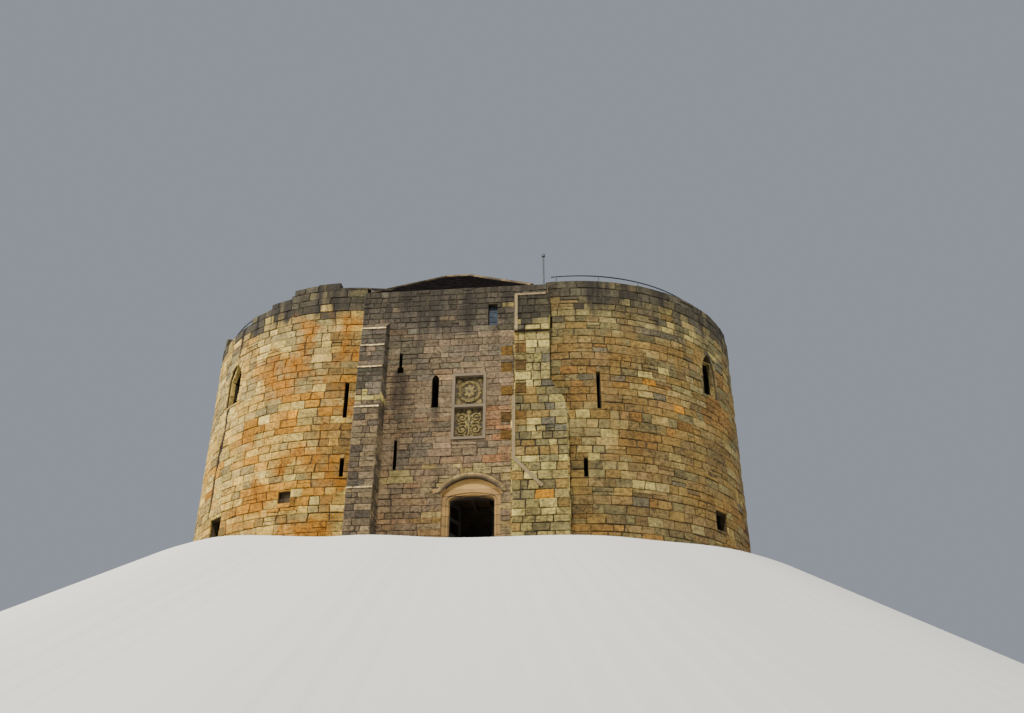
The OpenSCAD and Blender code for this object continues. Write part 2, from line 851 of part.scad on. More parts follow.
// The pale string courses on the right buttress: one that runs down and then slopes away
// to the right, and one that runs up the head and turns along its top.
module drip_stone() {
    low_left = right_butt_x + string_inset;
    low_top = butt_step_z - string_inset;
    low_end = string_bend - string_run * string_slope;
    top_left = right_butt_x + butt_step;
    top_z = head_z + head_h - string_w;
    in_place() color(dressed_stone) {
        on_front(right_butt_out + seat, right_butt_out + string_out)
            polygon([[low_left, low_top], [low_left, string_bend],
                [low_left + string_run, low_end],
                [low_left + string_run + string_w * 0.75, low_end + string_w * 0.7],
                [low_left + string_w, string_bend + string_w * 0.6],
                [low_left + string_w, low_top]]);
        on_front(right_butt_out + head_lap + seat, right_butt_out + head_lap + string_out)
            polygon([[top_left, head_z + seat], [top_left, top_z + string_w],
                [top_left + right_butt_w - 2 * butt_step, top_z + string_w],
                [top_left + right_butt_w - 2 * butt_step, top_z + string_w / 3],
                [top_left + string_w, top_z + string_w / 3], [top_left + string_w, head_z + seat]]);
    }
}

// The outline of the doorway from the ground up, widened all round by grow. Its arch is
// flat, with three centres: two round corners and a wide crown.
module door_outline(grow) {
    reach = 2;
    crown_z = door_spring + door_rise - crown_r;
    translate([-door_w / 2 - grow, -1]) square([door_w + 2 * grow, door_spring + 1]);
    for (side = [-1, 1])
        translate([side * corner_x, door_spring]) circle(r = door_corner_r + grow);
    intersection() {
        translate([0, crown_z]) circle(r = crown_r + grow);
        polygon([[corner_x, door_spring], [corner_x * reach, crown_z + (door_spring - crown_z) * reach],
            [-corner_x * reach, crown_z + (door_spring - crown_z) * reach], [-corner_x, door_spring]]);
    }
}

// The doorway's outline cut along +Y from y.
module door_hole(grow, y, depth) {
    translate([door_x, y + depth, 0]) rotate([90, 0, 0]) linear_extrude(height = depth)
        door_outline(grow);
}

// The shallow recess round the mouldings, with upright sides under a round arch.
module door_recess() {
    translate([door_x, recess_y, 0]) rotate([90, 0, 0])
        linear_extrude(height = door_recess_t + 1) intersection() {
            translate([-recess_half_w, -1]) square([2 * recess_half_w, far]);
            union() {
                translate([0, hood_z]) circle(r = tympanum_r);
                translate([-recess_half_w, -1]) square([2 * recess_half_w, hood_z]);
            }
        }
}

// The roll over the doorway's arch: two round corners and the flat crown, in three stones
// with a joint between them.
module arch_roll() {
    corner_joint = roll_joint * 180 / (PI * (door_corner_r + roll_set));
    crown_joint = roll_joint * 180 / (PI * (crown_r + roll_set));
    for (side = [0, 1]) mirror([side, 0, 0])
        translate([corner_x, 0, door_spring]) rotate([90, 0, 0])
            rotate_extrude(angle = crown_angle - corner_joint)
                translate([door_corner_r + roll_set, 0]) circle(r = roll_r, $fn = 48);
    translate([0, 0, door_spring + door_rise - crown_r]) rotate([90, 0, 0])
        rotate([0, 0, crown_angle + crown_joint])
            rotate_extrude(angle = 180 - 2 * (crown_angle + crown_joint))
                translate([crown_r + roll_set, 0]) circle(r = roll_r, $fn = 48);
}

// A block of the doorway's surround, with its recess, its hollow and its inner reveal.
module door_block(low, high) {
    difference() {
        box(low, high);
        door_recess();
        door_hole(hollow_w, recess_y - 1, hollow_w + 1);
        door_hole(0, -front_face - 1, front_t + 2);
        box([door_left - reveal_step, order_back, -1], [door_right + reveal_step, room_front + 1, reveal_h]);
    }
}

// The upright roll that stands in the hollow of a jamb.
module jamb_roll(side) {
    translate([door_x + side * (door_w / 2 + roll_set), recess_y + roll_set, 0])
        cylinder(r = roll_r, h = door_spring);
}

module door_jamb_left() {
    in_place() color(dressed_stone) union() {
        door_block([bay_left, -front_face, 0], [door_x, room_front, door_spring]);
        jamb_roll(-1);
    }
}

module door_jamb_right() {
    in_place() color(dressed_stone) union() {
        door_block([door_x, -front_face, 0], [bay_right, room_front, door_spring]);
        jamb_roll(1);
    }
}

module door_head() {
    in_place() color(dressed_stone) union() {
        door_block([bay_left, -front_face, door_spring], [bay_right, room_front, head_top]);
        translate([door_x, recess_y + roll_set, 0]) arch_roll();
    }
}

module tympanum() {
    in_place() color(dressed_stone) intersection() {
        translate([door_x, recess_y, hood_z]) rotate([-90, 0, 0])
            cylinder(r = tympanum_r - seat, h = housing_t - door_recess_t);
        box([bay_left, -far, head_top + seat], [bay_right, far, far]);
    }
}

module hood_mould() {
    in_place() color(dressed_stone) intersection() {
        translate([door_x, -front_face, hood_z]) rotate([90, 0, 0]) rotate_extrude()
            polygon([[hood_r, 0], [hood_r + hood_w, 0], [hood_r + hood_w, hood_out / 3],
                [hood_r + hood_w * 0.6, hood_out], [hood_r + hood_w * 0.2, hood_out],
                [hood_r, hood_out / 2]]);
        box([-far, -far, hood_foot_z], [far, far, far]);
    }
}

module panel_frame() {
    inner_w = panel_w - 2 * panel_bar_w;
    half_h = (panel_h - 3 * panel_bar_w) / 2;
    in_place() color(dressed_stone) difference() {
        box([panel_x + seat, -front_face - panel_out, panel_z + seat],
            [panel_x + panel_w - seat, -front_face + panel_niche - slab_t, panel_z + panel_h - seat]);
        for (i = [0, 1])
            translate([panel_x + panel_bar_w, -front_face - panel_out - 1,
                panel_z + panel_bar_w + i * (half_h + panel_bar_w)])
                cube([inner_w, panel_niche + panel_out, half_h]);
    }
}

module carved_panels() {
    inner_w = panel_w - 2 * panel_bar_w;
    half_h = (panel_h - 3 * panel_bar_w) / 2;
    in_place() color(dark_stone) for (i = [0, 1])
        translate([panel_x + panel_bar_w - slab_lap, -front_face + panel_niche - slab_t + seat,
            panel_z + panel_bar_w - slab_lap + i * (half_h + panel_bar_w)])
            cube([inner_w + 2 * slab_lap, slab_t - 2 * seat, half_h + 2 * slab_lap]);
}

module upper_window_glass() {
    in_place() color(glass_blue)
        translate([glazed_x - glazed_w / 2 + seat, -front_face + glass_set, glazed_z + seat])
            cube([glazed_w - 2 * seat, glass_t, glazed_h - 2 * seat]);
}

module mast() {
    collar_h = 100;
    in_place() color(iron)
        translate([gate_right - mast_in, -front_face + mast_back, gate_h + seat]) {
            cylinder(r = mast_r, h = mast_h);
            translate([0, 0, mast_h - 1.3 * collar_h]) cylinder(r = mast_r * 2, h = collar_h);
        }
}

module hinge_hooks() {
    in_place() color(iron) for (side = [-1, 1]) for (z = hook_heights)
        translate([door_x + side * axis_x, axis_y, z]) {
            cylinder(r = pin_r, h = strap_h + 3 * strap_t);
            translate([0, 0, -hook_t - 2]) cylinder(r = pin_r + collar_t, h = hook_t + 2);
            translate([side < 0 ? -hook_l + seat : 0, -pin_r, -hook_t - 2])
                cube([hook_l - seat, 2 * pin_r, hook_t]);
        }
}

// A leaf in its closed place, as the right-hand one: it runs from the hinge axis to the middle.
module leaf_shape() {
    x0 = -heel_gap - leaf_w;
    y0 = -axis_set - leaf_t;
    difference() {
        translate([x0, y0, leaf_gap]) cube([leaf_w, leaf_t, leaf_h - leaf_gap]);
        rails = 4;
        gap_h = (leaf_h - leaf_gap - (rails + 1) * leaf_bar) / rails;
        for (i = [0:rails - 1])
            translate([x0 + leaf_bar, y0 - 1, leaf_gap + leaf_bar + i * (gap_h + leaf_bar)])
                cube([leaf_w - 2 * leaf_bar, leaf_t + 2, gap_h]);
    }
}

module strap_shape() {
    for (z = hook_heights) {
        difference() {
            union() {
                translate([-strap_l, seat - axis_set, z + strap_t]) cube([strap_l, strap_t, strap_h]);
                translate([0, 0, z + strap_t]) cylinder(r = pin_r + eye_t, h = strap_h);
                translate([-hook_l, seat - axis_set, z + strap_t])
                    cube([hook_l, axis_set - pin_r, strap_h]);
            }
            translate([0, 0, z + strap_t - 1]) cylinder(r = pin_r + seat, h = strap_h + 2);
        }
    }
}

// Sets the right-hand shape at its hinge, turned open; side -1 mirrors it to the left.
module hung(side) {
    translate([door_x, 0, 0]) mirror([side < 0 ? 1 : 0, 0, 0])
        translate([axis_x, axis_y, 0]) rotate([0, 0, -leaf_open]) children();
}

module gate_leaf_left() {
    in_place() color(oak) hung(-1) leaf_shape();
}

module gate_leaf_right() {
    in_place() color(oak) hung(1) leaf_shape();
}

module leaf_straps_left() {
    in_place() color(iron) hung(-1) strap_shape();
}

module leaf_straps_right() {
    in_place() color(iron) hung(1) strap_shape();
}

front_left_wall_face();
front_left_wall_corner();
front_left_wall_side();
front_right_wall_face();
front_right_wall_corner();
front_right_wall_side();
back_left_wall_face();
back_left_wall_corner();
back_left_wall_side();
back_right_wall_face();
back_right_wall_corner();
back_right_wall_side();
front_left_parapet();
front_right_parapet();
back_left_parapet();
back_right_parapet();
front_left_handrail();
front_right_handrail();
back_left_handrail();
back_right_handrail();
gate_front_left();
gate_front_right();
gate_front_over_door();
gate_side_left();
gate_side_right();
gate_back_left();
gate_back_right();
gate_back_over_door();
gate_first_floor();
gate_second_floor();
gate_roof();
left_buttress();
right_buttress();
drip_stone();
door_jamb_left();
door_jamb_right();
door_head();
tympanum();
hood_mould();
panel_frame();
carved_panels();
upper_window_glass();
mast();
hinge_hooks();
gate_leaf_left();
gate_leaf_right();
leaf_straps_left();
leaf_straps_right();
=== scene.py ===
"""Looks of the castle keep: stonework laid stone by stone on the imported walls, a tiled roof,
a moulded doorway, carved panels, timber leaves and ironwork, with plain studio light."""

import logging
import random
from collections.abc import Callable, Iterable, Sequence
from dataclasses import dataclass, field, replace
from enum import Enum
from math import acos, asin, atan2, cos, degrees, dist, hypot, pi, radians, sin, sqrt, tau
from typing import Any, Protocol

import bmesh
import bpy
from mathutils import Matrix, Vector, noise


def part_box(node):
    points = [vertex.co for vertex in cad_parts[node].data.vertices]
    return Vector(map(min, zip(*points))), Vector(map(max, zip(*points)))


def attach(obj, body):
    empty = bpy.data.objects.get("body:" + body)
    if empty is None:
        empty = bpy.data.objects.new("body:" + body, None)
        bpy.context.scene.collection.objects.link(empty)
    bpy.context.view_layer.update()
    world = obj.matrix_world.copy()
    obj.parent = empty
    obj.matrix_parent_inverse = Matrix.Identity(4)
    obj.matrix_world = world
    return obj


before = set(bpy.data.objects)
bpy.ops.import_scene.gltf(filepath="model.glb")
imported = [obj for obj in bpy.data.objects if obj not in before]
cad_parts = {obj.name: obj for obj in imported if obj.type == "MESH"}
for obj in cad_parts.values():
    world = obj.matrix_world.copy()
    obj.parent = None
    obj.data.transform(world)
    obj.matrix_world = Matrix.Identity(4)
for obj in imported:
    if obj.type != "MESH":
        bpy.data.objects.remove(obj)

Triple = tuple[float, float, float]
Colour = Triple
Point = tuple[float, float]
Side = list[Point]
Row = tuple[float, ...]
Material = bpy.types.Material
Mesh = bmesh.types.BMesh
Paint = Callable[[float, float], Colour]
Push = Callable[[float, float], Point]

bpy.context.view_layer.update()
LOG = logging.getLogger("keep")

# How far each lobe's centre lies from the tower's middle on each axis, and its walls' radii
SPACING, INNER_RADIUS, OUTER_RADIUS = 4.05, 3.35, 6.25

# The tower's middle: sizes below are in metres from there
TOWER_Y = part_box("back_left_wall_face")[1].y - (SPACING + OUTER_RADIUS)
TOWER = Vector((0.0, TOWER_Y, 0.0))

# Direction of a lobe's outer corner from its centre, in degrees
CORNER = 225.0

# Directions in which a wall runs, with its outside on the right
ACROSS, FORWARD, BACKWARD = (1.0, 0.0), (0.0, -1.0), (0.0, 1.0)

# The gate building's front plane, and the heights of the wall walk and the inner doorway
GATE_FRONT, WALK, INNER_DOOR_TOP = -10.45, 9.4, 2.12

# A height over everything, and the least brightness of a stone
SKY, DARKEST = 99.0, 0.003


def tone(red: int, green: int, blue: int) -> Colour:
    """A screen colour, 0 to 255, as a scene-linear one."""
    shares = (value / 255 for value in (red, green, blue))
    return tuple(v / 12.92 if v <= 0.04045 else ((v + 0.055) / 1.055) ** 2.4 for v in shares)


def seen(red: int, green: int, blue: int) -> Colour:
    """A stone's own colour, stronger and darker than its tone in sunlight, 0 to 255."""
    lit, vivid, share = tone(red, green, blue), 1.27, 0.66
    return tuple(max(DARKEST, (sum(lit) / 3 + (v - sum(lit) / 3) * vivid) * share) for v in lit)


# Node trees


def operator(operation: str, turned: bool = False) -> Callable[..., "Wire"]:
    """Writes a method of Wire that adds a Math node.

    Args:
        operation: The node's operation.
        turned: Whether the other value comes first.

    Returns:
        The method.
    """

    def method(wire: "Wire", *others: "Wire | float") -> "Wire":
        """The node's value."""
        return wire.maths(operation, *((*others, wire) if turned else (wire, *others)))

    return method


class Wire:
    """A value in a node tree: plain arithmetic on it adds Math nodes."""

    def __init__(self, graph: "Graph", out: bpy.types.NodeSocket) -> None:
        """Keeps the tree and the output socket."""
        self.graph, self.out = graph, out

    def maths(self, operation: str, *terms: "Wire | float") -> "Wire":
        """The value of a Math node with this operation and these inputs."""
        return self.graph.add("ShaderNodeMath", {"operation": operation}, dict(enumerate(terms)))

    __add__ = __radd__ = operator("ADD")
    __sub__, __rsub__ = operator("SUBTRACT"), operator("SUBTRACT", turned=True)
    __mul__ = __rmul__ = operator("MULTIPLY")
    __truediv__ = operator("DIVIDE")
    __gt__, __lt__ = operator("GREATER_THAN"), operator("LESS_THAN")

    # What is left over the whole number under it, that number, its size without sign, its root
    fraction, whole, size, root = operator("FRACT"), operator("FLOOR"), operator("ABSOLUTE"), operator("SQRT")

    # The larger of it and another value
    most = operator("MAXIMUM")

    def over(self, low: float, high: float) -> "Wire":
        """0 up to low, 1 from high, and smooth between them."""
        inputs = {"Value": self, "From Min": low, "From Max": high}
        return self.graph.add("ShaderNodeMapRange", {"interpolation_type": "SMOOTHSTEP"}, inputs)


class Graph:
    """The node tree of one material."""

    def __init__(self, name: str) -> None:
        """Starts an empty tree.

        Args:
            name: The material's name.
        """
        self.material = bpy.data.materials.new(name)
        self.material.use_nodes = True
        self.tree = self.material.node_tree
        self.tree.nodes.clear()

    def add(self, kind: str, settings: dict[str, Any], inputs: dict[Any, Any], out: Any = 0) -> Wire:
        """Adds a node, with its settings first.

        Args:
            kind: The node's type.
            settings: Its properties.
            inputs: Values or wires by socket name or number.
            out: The output to hand back.

        Returns:
            That output.
        """
        made = self.tree.nodes.new(kind)
        for key, value in settings.items():
            setattr(made, key, value)
        for key, value in inputs.items():
            socket = made.inputs[key]
            if isinstance(value, Wire):
                self.tree.links.new(value.out, socket)
            elif socket.type == "RGBA":
                socket.default_value = (*value, 1.0)
            else:
                socket.default_value = value
        return Wire(self, made.outputs[out])

    def place(self) -> Wire:
        """The object's own coordinates."""
        return self.add("ShaderNodeTexCoord", {}, {}, "Object")

    def axis(self, number: int) -> Wire:
        """One of the object's own coordinates."""
        return self.add("ShaderNodeSeparateXYZ", {}, {0: self.place()}, number)

    def grain(self, scale: float, detail: float = 4.0, squeeze: Triple = (1, 1, 1)) -> Wire:
        """Noise from 0 to 1 on the object's coordinates, each of them scaled by squeeze first."""
        where = self.add("ShaderNodeMapping", {}, {"Vector": self.place(), "Scale": squeeze})
        return self.add("ShaderNodeTexNoise", {},
                        {"Vector": where, "Scale": scale, "Detail": detail, "Roughness": 0.6})

    def blend(self, low: Any, high: Any, share: Any) -> Wire:
        """A colour between two others."""
        settings = {"data_type": "RGBA", "clamp_factor": True}
        return self.add("ShaderNodeMix", settings, {0: share, 6: low, 7: high}, 2)

    def shade(self, colour: Any, light: Any) -> Wire:
        """A colour made lighter or darker by a value."""
        return self.add("ShaderNodeVectorMath", {"operation": "SCALE"}, {0: colour, 3: light})

    def bump(self, height: Wire, depth: float, strength: float = 1.0) -> Wire:
        """A surface relief of this height map."""
        inputs = {"Height": height, "Distance": depth, "Strength": strength}
        return self.add("ShaderNodeBump", {}, inputs)

    def finish(self, **inputs: Any) -> Material:
        """Closes the tree with one shader.

        Args:
            inputs: The shader's inputs, with _ for a space.

        Returns:
            The material.
        """
        named = {key.replace("_", " "): value for key, value in inputs.items()}
        shader = self.add("ShaderNodeBsdfPrincipled", {}, named)
        end = self.tree.nodes.new("ShaderNodeOutputMaterial")
        self.tree.links.new(shader.out, end.inputs["Surface"])
        return self.material


# Finishes


@dataclass(frozen=True)
class Stain:
    """A dark streak that runs down a face from one height to another."""

    x: float
    half_w: float
    low: float
    high: float
    share: float

    def mask(self, g: Graph) -> Wire:
        """Its strength at each place: most at its top.

        Args:
            g: The tree that it is drawn in.

        Returns:
            The strength, 0 to 1.
        """
        across = (g.axis(0) + (g.grain(1.1, 3.0) - 0.5) * self.half_w - self.x).size()
        side = 1 - across.over(self.half_w * 0.3, self.half_w)
        rise = g.axis(2).over(self.low, self.high) * (1 - g.axis(2).over(self.high, self.high + 0.15))
        return side * rise * self.share


@dataclass(frozen=True)
class LaidStone:
    """Finish of the stones that are laid one by one: each has its own colour."""

    name: str
    soot: Colour = tone(38, 34, 28)
    streaks: float = 0.35
    weather: Point = (8.9, 10.3)
    weather_share: float = 0.55
    bloom: Colour = seen(128, 104, 66)
    bloom_share: float = 0.0
    bloom_side: Point = (-90.0, -80.0)
    light: float = 0.92
    stains: tuple[Stain, ...] = ()

    def material(self) -> Material:
        """Mottled, pitted and stained stone on each stone's own colour.

        Returns:
            The material.
        """
        g = Graph(self.name)
        own = g.add("ShaderNodeAttribute", {"attribute_name": "stone"}, {}, "Color")
        number = g.add("ShaderNodeAttribute", {"attribute_name": "stone"}, {}, "Alpha")
        broad, fine, pits = g.grain(0.9, 5.0), g.grain(10.0, 7.0), g.grain(46.0, 3.0)
        bed = g.grain(6.0, 5.0, (1.0, 1.0, 3.6))
        light = 0.30 + broad.over(0.34, 0.62) * 0.30 + fine.over(0.38, 0.60) * 0.60
        light = light + bed.over(0.38, 0.62) * 0.40
        crust = (g.grain(4.6, 4.0) + number * 0.25).over(0.62, 0.84) * 0.34
        light = (light + crust) * self.light
        colour = g.shade(own, light)
        high = (g.axis(2) + (broad - 0.5) * 1.6).over(*self.weather) * self.weather_share
        if self.bloom_share:
            patch = g.grain(0.62, 6.0).over(0.46, 0.62) * (0.35 + g.grain(2.6, 5.0) * 1.2)
            share = patch * (0.3 + g.axis(0).over(*self.bloom_side) * 0.7) * self.bloom_share
            colour = g.blend(colour, g.shade(self.bloom, light), share * (1 - high * 1.4))
        rain = g.grain(2.2, 6.0, (1.0, 1.0, 0.14))
        dirt = rain.over(0.44, 0.72) * (self.streaks + high) + fine.over(0.55, 0.68) * 0.24 + high * 0.55
        for stain in self.stains:
            dirt = dirt + stain.mask(g) * (0.35 + rain * 1.2)
        colour = g.blend(colour, self.soot, dirt.over(0.0, 1.25))
        height = fine * 0.9 + pits * 0.25 + bed * 0.5
        return g.finish(Base_Color=colour, Roughness=0.86 + fine * 0.12, Specular_IOR_Level=0.25,
                        Normal=g.bump(height, 0.034))


@dataclass(frozen=True)
class CoreWall:
    """Finish of the walls behind the laid stones, and of their reveals: coursed stone."""

    name: str
    stone: Colour
    mortar: Colour
    course: float = 0.27
    length: float = 0.46
    # Whether the reveals of the openings inside the walls get painted shade
    shadowed: bool = True

    def material(self) -> Material:
        """Courses with broken joints, each stone in its own tone, and painted shade on the surfaces inside the
        walls' thickness.

        Returns:
            The material.
        """
        g = Graph(self.name)
        row = g.axis(2) / self.course
        run = (g.axis(0) + g.axis(1) * 0.83) / self.length + row.whole() * 0.37
        cell = g.add("ShaderNodeCombineXYZ", {}, {0: run.whole(), 1: row.whole()})
        shade = g.add("ShaderNodeTexWhiteNoise", {}, {"Vector": cell})
        joint = (row.fraction() < 0.06).most(run.fraction() < 0.035)
        fine = g.grain(18.0, 5.0)
        stone = g.blend(self.stone, self.mortar, g.grain(1.5, 4.0) * 0.5)
        colour = g.blend(g.shade(stone, 0.6 + shade * 0.4 + fine * 0.25), self.mortar, joint * 0.8)
        # Painted shade: surfaces inside the walls' thickness, away from both faces, are darkened nearly to black
        if self.shadowed:
            across = g.axis(0).size() - SPACING
            along = (g.axis(1) - TOWER_Y).size() - SPACING
            reach = (across * across + along * along).root()
            deep = reach.over(3.4, 3.7) * (1 - reach.over(5.94, 6.04))
            colour = g.blend(colour, tone(26, 22, 18), deep * 0.9)
        height = fine * 0.4 + (1 - joint) * 0.8
        return g.finish(Base_Color=colour, Roughness=0.93, Specular_IOR_Level=0.2,
                        Normal=g.bump(height, 0.012))


class Joints(Enum):
    """How a dressed piece is divided into its stones."""

    NONE = "none"
    BEDS = "beds"
    RADIAL = "radial"


@dataclass(frozen=True)
class DressedStone:
    """Finish of dressed work: smooth stone with fine joints."""

    name: str
    light: Colour
    dark: Colour
    joints: Joints = Joints.NONE
    bed: float = 0.33
    centre: Point = (0.915, 1.59)
    wear: float = 0.4
    patch: float = 6.0
    hollow: Point = (0.56, 0.72)
    # Depths into the wall from the front over which the stone is darkened as painted shadow, if given
    shadow: Point | None = None

    def material(self) -> Material:
        """Weathered stone, with joints along its beds or towards its centre, painted shade on the inside of a
        radial ring, and painted shadow into a recess where one is given.

        Returns:
            The material.
        """
        g = Graph(self.name)
        fine, broad = g.grain(22.0, 6.0), g.grain(2.2, 5.0)
        if self.joints is Joints.RADIAL:
            run = g.axis(2) - self.centre[1]
            turn = run.maths("ARCTAN2", run, g.axis(0) - self.centre[0]) * 5.4
        elif self.joints is Joints.BEDS:
            turn = g.axis(2) / self.bed + 0.31
        else:
            turn = g.axis(2) * 0.0 + 0.5
        shade = g.add("ShaderNodeTexWhiteNoise", {"noise_dimensions": "1D"}, {"W": turn.whole() + 3.3})
        joint = (turn.fraction() < 0.07) * (0.0 if self.joints is Joints.NONE else 1.0)
        # Painted shade: inside 1.27 m of the centre the ring is darkened like a joint, for the shadow in the
        # hollow between the hood and the tympanum
        if self.joints is Joints.RADIAL:
            across = g.axis(0) - self.centre[0]
            joint = joint.most((1 - (run * run + across * across).root().over(1.27, 1.30)) * 0.75)
        mix = (broad * 0.9 + shade * 0.5).over(0.35, 0.95)
        colour = g.shade(g.blend(self.light, self.dark, mix), 0.78 + fine * 0.35)
        worn = g.blend(colour, tone(44, 37, 29), g.grain(self.patch, 6.0).over(*self.hollow) * self.wear)
        # Painted shadow: stone further in than these depths, the inner jambs and head of the doorway, is darkened
        # nearly to black; from here worn holds both wear and painted shadow
        if self.shadow:
            worn = g.blend(worn, tone(20, 18, 18), (g.axis(1) - TOWER_Y).over(*self.shadow) * 0.92)
        colour = g.blend(worn, tone(48, 40, 32), joint * 0.85)
        height = fine * 0.5 + (1 - joint)
        return g.finish(Base_Color=colour, Roughness=0.84, Normal=g.bump(height, 0.008))


@dataclass(frozen=True)
class RoofTile:
    """Finish of the plain clay tiles."""

    name: str = "brown clay tile"

    def material(self) -> Material:
        """Dark tiles with lichen in patches.

        Returns:
            The material.
        """
        g = Graph(self.name)
        own = g.add("ShaderNodeAttribute", {"attribute_name": "stone"}, {}, "Color")
        fine = g.grain(30.0, 5.0)
        colour = g.shade(own, 0.7 + fine * 0.5)
        lichen = g.blend(colour, tone(60, 54, 42), g.grain(4.0, 6.0).over(0.62, 0.76) * 0.35)
        return g.finish(Base_Color=lichen, Roughness=0.82, Specular_IOR_Level=0.12,
                        Normal=g.bump(fine, 0.004))


@dataclass(frozen=True)
class Oak:
    """Finish of the timber, with the grain along one axis."""

    name: str
    light: Colour
    dark: Colour
    squeeze: Triple = (1.0, 1.0, 0.08)

    def material(self) -> Material:
        """Grey-brown weathered grain with fine splits.

        Returns:
            The material.
        """
        g = Graph(self.name)
        rings, fine = g.grain(26.0, 5.0, self.squeeze), g.grain(90.0, 4.0, self.squeeze)
        colour = g.blend(self.dark, self.light, rings * 0.7 + fine * 0.4)
        splits = fine.over(0.60, 0.68)
        colour = g.blend(colour, tone(28, 22, 17), splits * 0.6)
        height = rings * 0.5 + (1 - splits) * 0.5
        return g.finish(Base_Color=colour, Roughness=0.78, Normal=g.bump(height, 0.002))


@dataclass(frozen=True)
class Metal:
    """Finish of painted or blackened metal."""

    name: str
    paint: Colour
    worn: Colour
    rough: float = 0.45
    wear: float = 0.4

    def material(self) -> Material:
        """Paint with worn and rusty patches.

        Returns:
            The material.
        """
        g = Graph(self.name)
        patch = g.grain(9.0, 6.0).over(0.55, 0.72) * self.wear
        colour = g.blend(self.paint, self.worn, patch)
        rough = self.rough + patch * 0.4 + g.grain(40.0, 3.0) * 0.1
        return g.finish(Base_Color=colour, Roughness=rough, Metallic=0.3,
                        Normal=g.bump(g.grain(80.0), 0.001))


@dataclass(frozen=True)
class Pane:
    """Finish of the window glass: dark, with a little unevenness."""

    name: str = "old window glass"

    def material(self) -> Material:
        """Dark glossy glass with dust in the corners.

        Returns:
            The material.
        """
        g = Graph(self.name)
        dust = g.grain(7.0, 5.0)
        colour = g.blend(tone(42, 56, 72), tone(118, 128, 134), dust.over(0.45, 0.85) * 0.5)
        return g.finish(Base_Color=colour, Roughness=0.08 + dust * 0.12,
                        Normal=g.bump(g.grain(5.0), 0.004))


@dataclass(frozen=True)
class Plain:
    """Finish of the studio's own floor."""

    name: str
    colour: Colour

    def material(self) -> Material:
        """Plain and matt."""
        return Graph(self.name).finish(Base_Color=self.colour, Roughness=0.95)


# Faces on which stones are laid


class Face(Protocol):
    """A face that turns flat places into places on the building."""

    def place(self, u: float, z: float, out: float) -> Vector:
        """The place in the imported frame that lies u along, z up and this far out of the face."""


def mirrored(x: float, y: float, z: float, mirror: Point) -> Vector:
    """A place of the front left quadrant, carried to the quadrant that the mirror gives."""
    return Vector((x * mirror[0], y * mirror[1] + TOWER_Y, z))


def around(centre: Point, reach: float, angle: float, z: float, mirror: Point) -> Vector:
    """A place at a distance and in a direction from a centre, mirrored."""
    return mirrored(centre[0] + reach * cos(angle), centre[1] + reach * sin(angle), z, mirror)


@dataclass(frozen=True)
class FlatFace:
    """A flat face, upright or sloping, in the tower's frame."""

    origin: Vector
    along: Vector
    up: Vector
    outward: Vector

    def place(self, u: float, z: float, out: float) -> Vector:
        """The place on this face."""
        return self.origin + self.along * u + self.up * z + self.outward * out + TOWER


@dataclass(frozen=True)
class RoundFace:
    """A round upright face of a quadrant, where u runs from its outer corner."""

    centre: Point
    radius: float
    mirror: Point = (1.0, 1.0)
    inward: bool = False
    zero: float = CORNER

    def place(self, u: float, z: float, out: float) -> Vector:
        """The place on this face."""
        reach = self.radius - out if self.inward else self.radius + out
        return around(self.centre, reach, radians(self.zero) + u / self.radius, z, self.mirror)

    def turn(self, angle: float) -> float:
        """Where an angle in degrees lies along the face."""
        return radians(angle - self.zero) * self.radius


@dataclass(frozen=True)
class RingTop:
    """A level face round a centre: u runs round it and z is the distance from the centre."""

    centre: Point
    level: float
    mirror: Point
    radius: float = 5.0

    def place(self, u: float, z: float, out: float) -> Vector:
        """The place on this face."""
        return around(self.centre, z, radians(CORNER) + u / self.radius, self.level + out, self.mirror)

    def turn(self, angle: float) -> float:
        """Where an angle in degrees lies round it."""
        return radians(angle - CORNER) * self.radius


@dataclass(frozen=True)
class Reveal:
    """The inside of a pointed opening in a round face: u runs round it from its left foot."""

    face: RoundFace
    gap: "Gap"

    def length(self) -> float:
        """The way round it, both sides and both halves of the head."""
        return 2 * (self.gap.spring - self.gap.z + self.gap.w * pi / 3)

    def place(self, u: float, z: float, out: float) -> Vector:
        """The place on this face, where z runs inwards.

        Args:
            u: How far along it.
            z: How far up it.
            out: How far out of it.

        Returns:
            The place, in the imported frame.
        """
        gap, hand = self.gap, -1.0
        if u > self.length() / 2:
            u, hand = self.length() - u, 1.0
        straight = gap.spring - gap.z
        turn = max(0.0, (u - straight) / gap.w)
        side = gap.w * cos(turn) - gap.w / 2 - out * cos(turn)
        height = gap.z + min(u, straight) + gap.w * sin(turn) - out * sin(turn)
        angle = radians(self.face.zero) + gap.u / self.face.radius
        depth = sqrt(self.face.radius**2 - side**2) - z
        x = self.face.centre[0] + depth * cos(angle) - hand * side * sin(angle)
        y = self.face.centre[1] + depth * sin(angle) + hand * side * cos(angle)
        return mirrored(x, y, height, self.face.mirror)


# Openings and colours of a face


class Head(Enum):
    """The shape of an opening's head."""

    SQUARE = "square"
    POINTED = "pointed"


